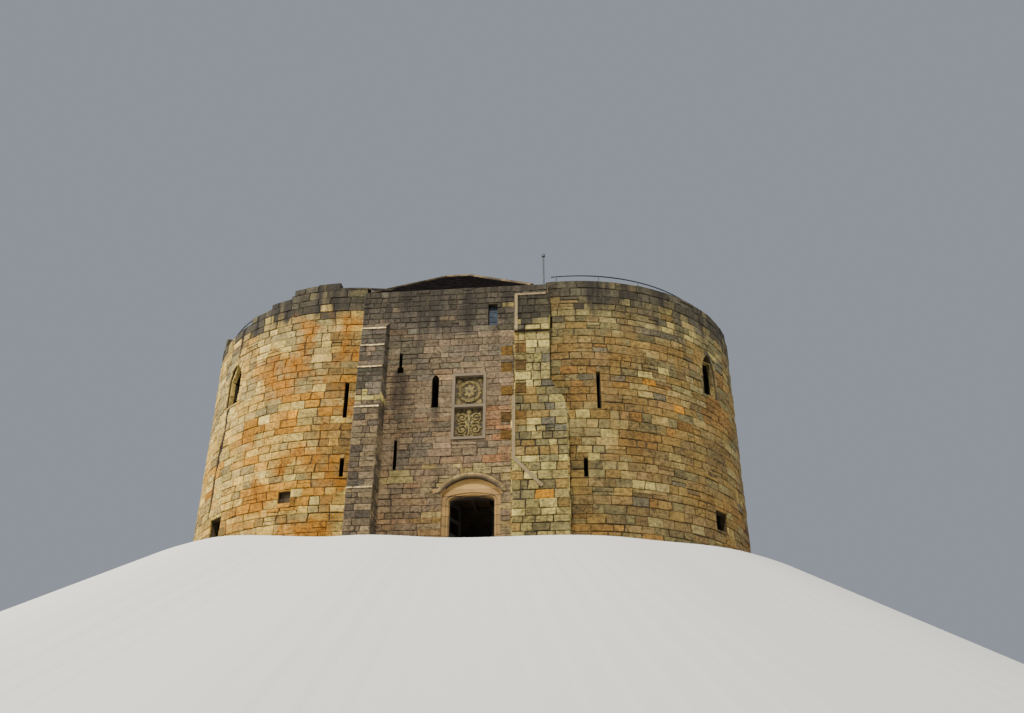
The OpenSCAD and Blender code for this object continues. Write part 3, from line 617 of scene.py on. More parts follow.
@dataclass(frozen=True)
class Gap:
    """A place on a face where no stones lie, with the width of the stones set round it."""

    u: float
    z: float
    w: float
    h: float
    head: Head = Head.SQUARE
    ring: float = 0.0

    @property
    def spring(self) -> float:
        """Height at which a pointed head begins."""
        return self.z + self.h - self.w * sqrt(3) / 2

    @property
    def top(self) -> float:
        """Height of its highest point, its ring of stones included."""
        pointed = self.spring + sqrt((self.w + self.ring) ** 2 - (self.w / 2) ** 2)
        return self.z + self.h if self.head is Head.SQUARE else pointed

    def sides(self, z: float) -> Point:
        """Its left and right side at a height.

        Args:
            z: The height.

        Returns:
            Where its two sides lie along the face.
        """
        half = self.w / 2 + self.ring
        if self.head is Head.POINTED and z > self.spring:
            reach = (self.w + self.ring) ** 2 - (z - self.spring) ** 2
            half = max(0.0, sqrt(max(0.0, reach)) - self.w / 2)
        return self.u - half, self.u + half

    def heights(self, foot: float, crown: float) -> list[float]:
        """Heights from a foot to a crown at which its sides need a corner."""
        steps = 1 if self.head is Head.SQUARE else 4
        return [foot + (crown - foot) * i / steps for i in range(steps + 1)]


@dataclass(frozen=True)
class Cut(Gap):
    """A gap with sides of any shape: rows of height, left and right, from its foot up."""

    rows: tuple[Triple, ...] = ()

    @classmethod
    def along(cls, *rows: Triple) -> "Cut":
        """A gap with these rows, whose sides run straight from one to the next."""
        return cls(rows[0][1], rows[0][0], 0.0, rows[-1][0] - rows[0][0], rows=rows)

    def sides(self, z: float) -> Point:
        """Its left and right side at a height.

        Args:
            z: The height.

        Returns:
            Where its two sides lie along the face.
        """
        for low, high in zip(self.rows, self.rows[1:]):
            if z <= high[0]:
                share = min(max((z - low[0]) / max(high[0] - low[0], 1e-6), 0.0), 1.0)
                return low[1] + (high[1] - low[1]) * share, low[2] + (high[2] - low[2]) * share
        return self.rows[-1][1:]

    def widened(self, z: float, least: float = 0.1) -> Point:
        """Its sides at a height, but at least a hand apart.

        Args:
            z: The height.
            least: The width that it has at least.

        Returns:
            Where its two sides lie along the face.
        """
        left, right = self.sides(z)
        spare = max(0.0, least - (right - left)) / 2
        return left - spare, right + spare

    def heights(self, foot: float, crown: float) -> list[float]:
        """Heights from a foot to a crown at which its sides need a corner."""
        return [foot, *(row[0] for row in self.rows if foot < row[0] < crown), crown]


def keyhole(u: float, z: float, foot: Point, slot: Point) -> Cut:
    """A slot on a wider foot, from the middle and height of the foot and the width and height of both."""
    half, thin, step = foot[0] / 2, slot[0] / 2, z + foot[1]
    return Cut.along((z, u - half, u + half), (step, u - half, u + half),
                     (step + 0.001, u - thin, u + thin), (step + slot[1], u - thin, u + thin))


def crack(points: Sequence[Point], width: float = 0.24, step: float = 0.3, sway: float = 0.07) -> Cut:
    """An open joint that runs up a wall.

    Args:
        points: The places that it runs through, from its foot up.
        width: Its greatest width.
        step: The height after which it turns.
        sway: How far it strays from side to side.

    Returns:
        The gap.
    """
    rng, rows = random.Random(7), []
    for (u0, z0), (u1, z1) in zip(points, points[1:]):
        count = max(1, round((z1 - z0) / step))
        for number in range(count):
            share = number / count
            mid = u0 + (u1 - u0) * share + rng.uniform(-sway, sway)
            half = width * rng.uniform(0.25, 0.7)
            rows.append((z0 + (z1 - z0) * share, mid - half, mid + half))
    rows.append((points[-1][1], points[-1][0] - width / 2, points[-1][0] + width / 2))
    return Cut.along(*rows)


@dataclass(frozen=True)
class Palette:
    """Colours of a wall's stones with their shares, and one that comes in clusters."""

    tones: tuple[tuple[Colour, float], ...]
    cluster: Colour | None = None
    cluster_share: float = 0.0
    spread: float = 0.15
    vivid: float = 0.6

    def pick(self, rng: random.Random, u: float, z: float, seed: float) -> Colour:
        """Chooses a stone's colour.

        Args:
            rng: The wall's own random numbers.
            u: The stone's place along the wall.
            z: Its height.
            seed: Sets one wall's clusters apart from another's.

        Returns:
            The colour.
        """
        drift = noise.noise(Vector((u * 0.42, z * 0.6, seed)))
        total = sum(share for _, share in self.tones)
        mean = [sum(t[i] * share for t, share in self.tones) / total for i in range(3)]
        if self.cluster and drift > 0.42 - self.cluster_share and rng.random() < 0.75:
            base, soft = self.cluster, 0.75
        else:
            base = rng.choices([t for t, _ in self.tones], [s for _, s in self.tones])[0]
            soft = self.vivid
        light = min(max(0.5, rng.gauss(1.0, self.spread)), 1.6)
        softened = [(m + (c - m) * soft) * light for c, m in zip(base, mean)]
        return tuple(max(DARKEST, part * rng.uniform(0.98, 1.02)) for part in softened)


@dataclass(frozen=True)
class Region:
    """A part of a wall whose stones have a palette of their own."""

    low: Point
    high: Point
    palette: Palette
    share: float = 0.85

    def holds(self, u: float, z: float) -> bool:
        """Whether a place lies in it."""
        return self.low[0] <= u <= self.high[0] and self.low[1] <= z <= self.high[1]


@dataclass(frozen=True)
class Bond:
    """How stones are cut and laid: sizes in metres, chances from 0 to 1."""

    low: float = 0.20
    high: float = 0.33
    short: float = 0.27
    long: float = 0.62
    joint: float = 0.020
    proud: Point = (0.012, 0.044)
    chamfer: float = 0.017
    wander: float = 0.010
    knock: float = 0.25
    split: float = 0.07
    lean: float = 0.0
    sway: float = 0.016


RUBBLE = Bond(low=0.24, high=0.35, short=0.32, long=0.78, joint=0.017)
INNER = Bond(low=0.26, high=0.38, short=0.38, long=0.82, split=0.03)
COURSED = Bond(low=0.15, high=0.27, short=0.28, long=0.86, joint=0.013, proud=(0.006, 0.030), wander=0.007,
               sway=0.008, split=0.10, chamfer=0.012)
SMALL = Bond(low=0.19, high=0.27, short=0.20, long=0.50, proud=(0.006, 0.028), knock=0.3)
SUNKEN = replace(SMALL, proud=(0.006, 0.007), split=0.0)
SQUARED = Bond(low=0.22, high=0.34, short=0.26, long=0.60, wander=0.005, sway=0.0, split=0.03)
STAGE = Bond(low=0.14, high=0.28, short=0.20, long=0.62, joint=0.014, proud=(0.006, 0.016), wander=0.006,
             sway=0.0)
NOSING = Bond(low=0.5, high=0.6, short=0.36, long=0.6, proud=(0.016, 0.022), chamfer=0.005, joint=0.006,
              knock=0.2, split=0.0, sway=0.0)
SLAB = Bond(low=0.5, high=0.7, short=0.5, long=0.9, proud=(0.008, 0.018), sway=0.0, split=0.0)
FLAGS = Bond(low=0.42, high=0.62, short=0.45, long=0.85, proud=(0.006, 0.016), sway=0.0, split=0.0)
TILES = Bond(low=0.112, high=0.113, short=0.166, long=0.168, joint=0.004, proud=(0.014, 0.02), chamfer=0.003,
             wander=0.002, knock=0.02, split=0.0, lean=0.016, sway=0.0)


# The mason


@dataclass(frozen=True)
class Work:
    """How stones are cut, what gives their colour, and what moves a corner out of a round place."""

    bond: Bond
    look: Paint
    push: Push | None = None


class Mason:
    """Lays stones on faces and gathers them in one mesh."""

    # Heights under this aren't filled, and stones reach this far into the wall
    SLIVER, BED = 0.04, -0.02

    # Widths under these stay bare: of a whole course, of the end of a course, and of a run
    BARE_COURSE, BARE_END, BARE_RUN = 0.08, 0.03, 0.02

    # A stone taller than this may be split in two, and one smaller than this area is left out
    TALL, CRUMB = 0.22, 0.0012

    def __init__(self, name: str, seed: int) -> None:
        """Starts a piece.

        Args:
            name: Its name.
            seed: The seed of its own random numbers.
        """
        self.name, self.seed = name, seed
        self.rng = random.Random(seed)
        self.bm = bmesh.new()
        self.colours = self.bm.verts.layers.float_color.new("stone")
        self.numbers = self.bm.verts.layers.int.new("face_number")
        self.faces: list[Face] = []
        self.sways: list[float] = []
        self.fronts: dict[float, list[bmesh.types.BMFace]] = {}

    def take(self, face: Face, sway: float = 0.0) -> None:
        """Turns to a face: what is laid next lies on it."""
        self.faces.append(face)
        self.sways.append(sway)

    def stone(self, outline: Sequence[Point], colour: Colour, bond: Bond) -> None:
        """Adds one stone's front.

        Args:
            outline: Its corners on the flat face, anticlockwise from outside.
            colour: Its colour.
            bond: How far it stands out and leans.
        """
        proud = self.rng.uniform(*bond.proud)
        tip_u, tip_z = self.rng.gauss(0, 0.012), self.rng.gauss(0, 0.014)
        mid_u, mid_z = centre(outline)
        height = max(z for _, z in outline) - min(z for _, z in outline)
        number, corners = self.rng.random(), []
        for u, z in outline:
            lean = bond.lean * (mid_z - z) / max(height, 0.01)
            out = max(0.006, proud + tip_u * (u - mid_u) + tip_z * (z - mid_z) + lean)
            corner = self.bm.verts.new((u, -out, z))
            corner[self.colours] = (*colour, number)
            corner[self.numbers] = len(self.faces) - 1
            corners.append(corner)
        self.fronts.setdefault(bond.chamfer, []).append(self.bm.faces.new(corners))

    def courses(self, low: float, high: float, bond: Bond, breaks: Iterable[float] = ()) -> list[float]:
        """Heights of the bed joints.

        Args:
            low: The foot of the wall.
            high: Its top.
            bond: The sizes of the courses.
            breaks: Heights at which a joint has to lie.

        Returns:
            The heights, foot and top included.
        """
        lines = [low]
        for stop in [*sorted(b for b in breaks if low < b < high), high]:
            start, steps = lines[-1], [self.rng.uniform(bond.low, bond.high)]
            while sum(steps) < stop - start - bond.low * 0.6:
                steps.append(self.rng.uniform(bond.low, bond.high))
            scale = (stop - start) / sum(steps)
            for step in steps:
                lines.append(lines[-1] + step * scale)
        return lines

    def lay(self, face: Face, span: Point | Callable[[float], Point], rise: Point, bond: Bond,
            look: Paint, gaps: Sequence[Gap] = (), breaks: Iterable[float] = (),
            push: Push | None = None) -> None:
        """Covers a face with stones in courses.

        Args:
            face: Where they lie.
            span: From where to where along it, or a function of the height.
            rise: From which height to which.
            bond: How they are cut.
            look: Gives a stone's colour from its place.
            gaps: What they go round.
            breaks: Heights at which a bed joint has to lie.
            push: Moves a corner out of a round place.
        """
        self.take(face, bond.sway)
        lines, plain, work = self.courses(*rise, bond, breaks), Work(bond, look), Work(bond, look, push)
        for low, high in zip(lines, lines[1:]):
            start, end = span((low + high) / 2) if callable(span) else span
            if end - start < self.BARE_COURSE:
                continue
            left: Side = [(start, low), (start, high)]
            for cut_left, cut_right in self.cuts(low, high, gaps, plain):
                if cut_right[0][0] <= start:
                    continue
                if cut_left[0][0] < end and max(u for u, _ in left) < cut_left[0][0]:
                    self.run(left, cut_left, low, high, work)
                if max(u for u, _ in cut_right) > max(u for u, _ in left):
                    left = cut_right
            if max(u for u, _ in left) < end - self.BARE_END:
                self.run(left, [(end, low), (end, high)], low, high, work)

    def wall(self, foot: Point, along: Point, width: float, rise: Point, bond: Bond, look: Paint) -> None:
        """Covers an upright flat face that starts at a point of the plan."""
        self.lay(upright(foot, along), (0.0, width), rise, bond, look)

    def look(self, palette: Palette, *regions: Region) -> "Look":
        """The colours of a wall of one palette, with regions of their own."""
        return Look(self, ((SKY, palette),), regions)

    def cuts(self, low: float, high: float, gaps: Sequence[Gap], work: Work) -> list[tuple[Side, Side]]:
        """The gaps that a course meets.

        Args:
            low: The course's lower bed joint.
            high: Its upper one.
            gaps: All gaps of the wall.
            work: How the small stones under a sill or over a head are made.

        Returns:
            The left and right side of each, from its foot up, from left to right.
        """
        found = []
        for gap in gaps:
            foot, crown = max(low, gap.z), min(high, gap.top)
            if crown - foot < self.SLIVER and crown - foot < (high - low) * 0.3:
                continue
            heights = gap.heights(foot, crown)
            left = [(gap.sides(z)[0], z) for z in heights]
            right = [(gap.sides(z)[1], z) for z in heights]
            pointed = gap.head is Head.POINTED and crown < high
            for under, over, end in ((low, foot, 0), (crown, high, -1)):
                if over - under > self.SLIVER and not (pointed and end):
                    near, far = left[end][0], right[end][0]
                    self.run([(near, under), (near, over)], [(far, under), (far, over)], under, over, work)
            left[0], right[0] = (left[0][0], low), (right[0][0], low)
            if pointed:
                left.append((gap.u, high))
                right.append((gap.u, high))
            else:
                left[-1], right[-1] = (left[-1][0], high), (right[-1][0], high)
            found.append((left, right))
        return sorted(found, key=lambda pair: pair[0][0][0])

    def run(self, left: Side, right: Side, low: float, high: float, work: Work) -> None:
        """Lays the stones of a course between two sides.

        Args:
            left: The left side, from its foot up.
            right: The right side, from its foot up.
            low: The lower bed joint.
            high: The upper one.
            work: How they are made.
        """
        rng, bond = self.rng, work.bond
        start, end = max(u for u, _ in left), min(u for u, _ in right)
        if end - start < self.BARE_RUN:
            return
        widths = [rng.uniform(bond.short, bond.long) * rng.uniform(0.55, 1.0)]
        while sum(widths) < end - start - bond.short * 0.5:
            widths.append(rng.uniform(bond.short, bond.long))
        scale, place, sides = (end - start) / sum(widths), start, [left]
        for width in widths[:-1]:
            place += width * scale
            slant = rng.gauss(0, bond.wander)
            sides.append([(place - slant, low), (place + slant, high)])
        sides.append(right)
        for number, (near, far) in enumerate(zip(sides, sides[1:])):
            first, last = number == 0, number == len(sides) - 2
            rows = [(low, high)]
            if not first and not last and high - low > self.TALL and rng.random() < bond.split:
                middle = low + (high - low) * rng.uniform(0.4, 0.6)
                rows = [(low, middle), (middle, high)]
            for foot, top in rows:
                half = bond.joint / 2 * rng.choice((0.5, 0.8, 1.0, 1.3, 2.0))
                lefts = [(u + (0 if first else half), z) for u, z in near]
                rights = [(u - (0 if last else half), z) for u, z in far]
                if len(rows) > 1:
                    lefts = [(lefts[0][0], foot), (lefts[-1][0], top)]
                    rights = [(rights[0][0], foot), (rights[-1][0], top)]
                outline = [lefts[0], *rights, *reversed(lefts[1:])]
                outline = [(u, min(max(z, foot + half), top - half)) for u, z in outline]
                self.cut(outline, (first, last), work)

    def cut(self, outline: list[Point], edges: tuple[bool, bool], work: Work) -> None:
        """Works one stone's outline and adds the stone.

        Args:
            outline: Its corners.
            edges: Whether its left and right side lie at the end of a run.
            work: How it is made.
        """
        rng, bond = self.rng, work.bond
        mid_u, mid_z = centre(outline)
        if work.push:
            dense = []
            for (u0, z0), (u1, z1) in zip(outline, outline[1:] + outline[:1]):
                steps = max(1, int(hypot(u1 - u0, z1 - z0) / 0.09))
                dense += [(u0 + (u1 - u0) * i / steps, z0 + (z1 - z0) * i / steps) for i in range(steps)]
            moved = [work.push(u, z) for u, z in dense]
            if any(dist(a, b) > 1e-6 for a, b in zip(moved, dense)):
                if area(moved) < area(outline) * 0.2:
                    return
                self.stone(moved, work.look(mid_u, mid_z), bond)
                return
        worked = []
        for u, z in outline:
            pull = rng.uniform(0.3, 1.0) * 0.03 if rng.random() < bond.knock else 0.0
            far_u, far_z = mid_u - u, mid_z - z
            size = max(hypot(far_u, far_z), 0.02)
            free = not ((edges[0] and u < mid_u) or (edges[1] and u > mid_u))
            shift = rng.uniform(-bond.wander, bond.wander) if free else 0.0
            pull = pull if free and size > 0.1 else 0.0
            worked.append((u + shift + far_u / size * pull,
                           z + rng.uniform(-bond.wander, bond.wander) * 0.6 + far_z / size * pull))
        if area(worked) > self.CRUMB:
            self.stone(worked, work.look(mid_u, mid_z), bond)

    def surround(self, face: RoundFace, gap: Gap, bond: Bond, look: Paint) -> None:
        """Sets the stones of a window's sides, head and moulded reveal.

        Args:
            face: The wall's face.
            gap: The opening, with the width of its ring.
            bond: How they are cut.
            look: Gives a stone's colour from its place.
        """
        self.take(face)
        lines, seam, work = self.courses(gap.z, gap.spring, bond), 0.006, Work(bond, look)
        for low, high in zip(lines, lines[1:]):
            foot, top = low + seam, high - seam
            for side in (-1, 1):
                ends = sorted((gap.u + side * gap.w / 2, gap.u + side * (gap.w / 2 + gap.ring)))
                near, far = ends[0] + seam, ends[1] - seam
                self.cut([(near, foot), (far, foot), (far, top), (near, top)], (False, False), work)
        inner, outer, count = gap.w, gap.w + gap.ring, 4
        ends = acos(0.5), acos(gap.w / 2 / outer)
        for side in (-1, 1):
            for number in range(count):
                shares = [(number + i / 3) / count for i in range(4)]
                wedge = [(outer, ends[1] * share) for share in shares]
                wedge += [(inner, ends[0] * share) for share in reversed(shares)]
                outline = [(gap.u + side * (r * cos(a) - gap.w / 2), gap.spring + r * sin(a))
                           for r, a in wedge]
                outline = outline[::-1] if side < 0 else outline
                mid_u, mid_z = centre(outline)
                shrunk = [(mid_u + (u - mid_u) * 0.96, mid_z + (z - mid_z) * 0.95) for u, z in outline]
                self.stone(shrunk, look(mid_u, mid_z), bond)
        reveal = Reveal(face, gap)
        strip = replace(bond, short=0.6, long=0.9, low=0.17, high=0.17, proud=(0.030, 0.034), joint=0.004,
                        sway=0.0, split=0.0, knock=0.0, wander=0.002)
        self.lay(reveal, (0.0, reveal.length()), (0.05, 0.22), strip, look)

    def finish(self, material: Material, slot: str, body: str = "root") -> bpy.types.Object:
        """Gives the stones their thickness and worn edges and sets them on their faces.

        Args:
            material: Their finish.
            slot: Not used.
            body: The body that they ride on.

        Returns:
            The finished piece.
        """
        bm = self.bm
        fronts = [front for group in self.fronts.values() for front in group]
        grown = bmesh.ops.extrude_face_region(bm, geom=fronts, use_keep_orig=True)["geom"]
        for item in grown:
            if isinstance(item, bmesh.types.BMVert):
                item.co.y = -self.BED
        bmesh.ops.recalc_face_normals(bm, faces=bm.faces)
        for chamfer, group in self.fronts.items():
            bmesh.ops.inset_individual(bm, faces=group, thickness=chamfer * 1.3, depth=chamfer * 0.55,
                                       use_even_offset=False)
        for vert in bm.verts:
            number = vert[self.numbers]
            u, out, z = vert.co.x, -vert.co.y, vert.co.z
            sway = self.sways[number]
            if sway:
                z += sway * noise.noise(Vector((u * 0.55, z * 0.8, self.seed)))
            vert.co = self.faces[number].place(u, z, out)
        bmesh.ops.recalc_face_normals(bm, faces=bm.faces)
        return to_piece(bm, self.name, material, body)


def centre(outline: Sequence[Point]) -> Point:
    """The middle of an outline's corners."""
    return sum(u for u, _ in outline) / len(outline), sum(z for _, z in outline) / len(outline)


def area(outline: Sequence[Point]) -> float:
    """The area of an outline, negative if it runs clockwise."""
    pairs = zip(outline, [*outline[1:], outline[0]])
    return sum(u0 * z1 - u1 * z0 for (u0, z0), (u1, z1) in pairs) / 2


def show(name: str, data: bpy.types.ID) -> bpy.types.Object:
    """Makes a mesh, light or camera an object of the scene.

    Args:
        name: The object's name.
        data: What it shows.

    Returns:
        The object.
    """
    made = bpy.data.objects.new(name, data)
    bpy.context.scene.collection.objects.link(made)
    return made


def to_piece(bm: Mesh, name: str, material: Material,
             body: str = "root", smooth: bool = False) -> bpy.types.Object:
    """Makes a finished mesh an object that rides on a body.

    Args:
        bm: The mesh, which is freed.
        name: The piece's name.
        material: Its finish.
        body: The body that it rides on.
        smooth: Whether it is shaded smooth.

    Returns:
        The object.
    """
    mesh = bpy.data.meshes.new(name)
    if smooth:
        for face in bm.faces:
            face.smooth = True
    bm.to_mesh(mesh)
    bm.free()
    mesh.materials.append(material)
    piece = show(name, mesh)
    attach(piece, body)
    LOG.info("%s: %d triangles", name, sum(len(p.vertices) - 2 for p in mesh.polygons))
    return piece


@dataclass(frozen=True)
class Look:
    """The colours of a wall: zones, each up to a height, and regions of their own palette."""

    mason: Mason
    zones: Sequence[tuple[float, Palette]]
    regions: Sequence[Region] = ()

    def __call__(self, u: float, z: float) -> Colour:
        """A stone's colour from its place.

        Args:
            u: The stone's place along the wall.
            z: Its height.

        Returns:
            The colour.
        """
        rng = self.mason.rng
        for region in self.regions:
            if region.holds(u, z) and rng.random() < region.share:
                return region.palette.pick(rng, u, z, self.mason.seed)
        palette = next((p for top, p in self.zones if z + rng.gauss(0, 0.15) < top), self.zones[-1][1])
        return palette.pick(rng, u, z, self.mason.seed)


# Palettes

CREAM, HONEY, OCHRE, STRAW = seen(206, 184, 126), seen(194, 164, 102), seen(184, 150, 92), seen(200, 178, 118)
FLAME, EMBER, UMBER = seen(176, 126, 62), seen(132, 100, 62), seen(122, 104, 74)
KHAKI = seen(178, 164, 112)
OLIVE, MOSS, LEAD, SOOT = seen(142, 130, 94), seen(112, 104, 76), seen(96, 91, 76), seen(66, 61, 50)
PINK, ROSE, CLAY_PINK, DUSK = seen(126, 111, 90), seen(134, 110, 86), seen(116, 101, 83), seen(92, 86, 75)
BISCUIT, ALE = seen(156, 138, 96), seen(136, 114, 74)

SUNNY = Palette(((HONEY, 4), (STRAW, 3), (OCHRE, 2.4), (CREAM, 2), (BISCUIT, 2), (OLIVE, 1)), FLAME, 0.06,
                0.18, 0.7)
SUNNY_TOP = Palette(((STRAW, 3), (BISCUIT, 4), (CREAM, 2), (OLIVE, 2.4), (HONEY, 1.6)), OLIVE, 0.12, 0.17, 0.8)
CAP = Palette(((MOSS, 2), (LEAD, 3), (SOOT, 4)), SOOT, 0.1)
MELLOW = Palette(((ALE, 4), (UMBER, 4), (BISCUIT, 1.6), (OLIVE, 2), (MOSS, 2), (LEAD, 0.6), (KHAKI, 0.5)),
                 EMBER, 0.10, 0.15, 0.85)
MELLOW_TOP = Palette(((OLIVE, 1.6), (MOSS, 5), (BISCUIT, 0.8), (LEAD, 3), (ALE, 1), (KHAKI, 0.4)), UMBER, 0.1,
                     0.16, 0.8)
ROSY = Palette(((PINK, 4), (CLAY_PINK, 4), (ROSE, 1), (DUSK, 1)), DUSK, 0.02, 0.11, 0.5)
ROSY_LOW = Palette(((PINK, 3), (ROSE, 3), (CLAY_PINK, 2), (ALE, 1.4)), OLIVE, 0.02, 0.12, 0.5)
SLATY = Palette(((seen(86, 79, 69), 4), (seen(84, 80, 68), 2), (SOOT, 3), (CLAY_PINK, 0.5)), SOOT, 0.08,
                0.17, 0.9)
PALE = Palette(((BISCUIT, 4), (CREAM, 2), (STRAW, 2), (OLIVE, 1)))
ORANGE = Palette(((FLAME, 4), (OCHRE, 3), (EMBER, 1)))
RUSTY = Palette(((ALE, 4), (UMBER, 2), (BISCUIT, 2), (FLAME, 1.4), (EMBER, 1.4)))
MIXED = Palette(((seen(140, 128, 88), 4), (KHAKI, 2), (MOSS, 2.4), (ALE, 2)), UMBER, 0.08, 0.17, 0.9)
# Near-black tones of the tiles: their dark clay, darkened further as painted shade on the low roof
CLAY = Palette(((tone(22, 14, 16), 4), (tone(16, 12, 14), 3), (tone(28, 20, 18), 2), (tone(26, 23, 22), 1)))
QUOIN = Palette(((seen(98, 76, 42), 2), (seen(86, 68, 42), 1)), spread=0.12)
# Near-black tone of the stones sunk in the cracks: painted shade inside them
CRACK_SHADE = Palette(((tone(24, 20, 16), 1),))
DULL_PINK = Palette(((CLAY_PINK, 4), (DUSK, 3), (PINK, 1.6), (LEAD, 1)), LEAD, 0.05)
LEMON = Palette(((BISCUIT, 1), (CREAM, 1)))
ASHEN = Palette(((seen(106, 94, 76), 3), (seen(124, 109, 86), 2), (seen(80, 72, 61), 2)), DUSK, 0.08, 0.24, 1.0)
# Very pale tones of the nosings' fronts: a painted highlight of their sunlit lips
HIGHLIT_LIPS = Palette(((seen(232, 212, 172), 3), (seen(204, 182, 144), 2)))
HEAD_LOW = Palette(((KHAKI, 3), (OLIVE, 2), (LEAD, 2)), vivid=1.0)
HEAD_HIGH = Palette(((seen(62, 58, 46), 4), (seen(50, 47, 39), 4), (seen(80, 76, 58), 2)), spread=0.2)
LICHEN = Palette(((LEAD, 3), (MOSS, 2), (KHAKI, 1.4)), vivid=1.0)
GREENISH = Palette(((LEAD, 2), (MOSS, 2), (OLIVE, 2)), vivid=1.0)
PALE_SHAFT = Palette(((seen(162, 150, 102), 4), (seen(140, 128, 90), 3), (OLIVE, 2)), vivid=0.9)


# The shell


@dataclass(frozen=True)
class Hole:
    """An opening of a lobe: its direction from the centre, its size, and whether it goes through."""

    angle: float
    sill: float
    w: float
    h: float
    head: Head = Head.SQUARE
    ring: float = 0.0
    through: bool = True
    notch: float = 0.0
    notch_size: Point = (0.11, 0.07)
    embrasure_w: float = 1.16
    embrasure_rise: float = 0.30

    def outside(self, face: RoundFace) -> Gap:
        """Its gap in the outer face.

        Args:
            face: The outer face.

        Returns:
            The gap.
        """
        u = face.turn(self.angle)
        if not self.notch:
            return Gap(u, self.sill, self.w, self.h, self.head, self.ring)
        half, low, (reach, high) = self.w / 2, self.sill + self.notch, self.notch_size
        steps = ((self.sill, 0.0), (low, 0.0), (low + 0.001, reach), (low + high, reach),
                 (low + high + 0.001, 0.0), (self.sill + self.h, 0.0))
        return Cut.along(*((height, u - half - side, u + half) for height, side in steps))

    def inside(self, face: RoundFace) -> Gap:
        """The gap that its wide embrasure makes in the inner face."""
        high = self.h + self.embrasure_rise
        return Gap(face.turn(self.angle), self.sill, self.embrasure_w, high, Head.POINTED)


@dataclass(frozen=True)
class Shell:
    """The sizes that all the lobes share, in metres."""

    spacing: float = SPACING
    inner: float = INNER_RADIUS
    outer: float = OUTER_RADIUS
    hub: float = 5.91
    walk: float = WALK
    parapet: float = 0.55
    parapet_top: float = 10.2
    cap: float = 9.45
    inner_change: float = 8.6

    @property
    def centre(self) -> Point:
        """The lobe's centre, before it is mirrored."""
        return -self.spacing, -self.spacing

    def span(self, radius: float, cut: float, top: bool = False) -> Point:
        """From which angle to which a circle about the lobe's centre lies on its quadrant.

        Args:
            radius: The circle's radius.
            cut: The distance of the quadrant's end from the centre line.
            top: Whether the open court is left out too.

        Returns:
            The two angles, in degrees.
        """
        low, high = 90.0, 360.0
        if radius > self.spacing:
            low = 180 - degrees(asin(self.spacing / radius))
        if radius > self.spacing - cut:
            high = 360 - degrees(acos((self.spacing - cut) / radius))
        if top:
            spread = 2 * self.spacing**2 + radius**2 - self.hub**2
            share = spread / (2 * self.spacing * radius) / sqrt(2)
            if abs(share) < 1:
                turn = degrees(acos(share))
                low, high = max(low, 45 + turn), min(high, 405 - turn)
        return low, high


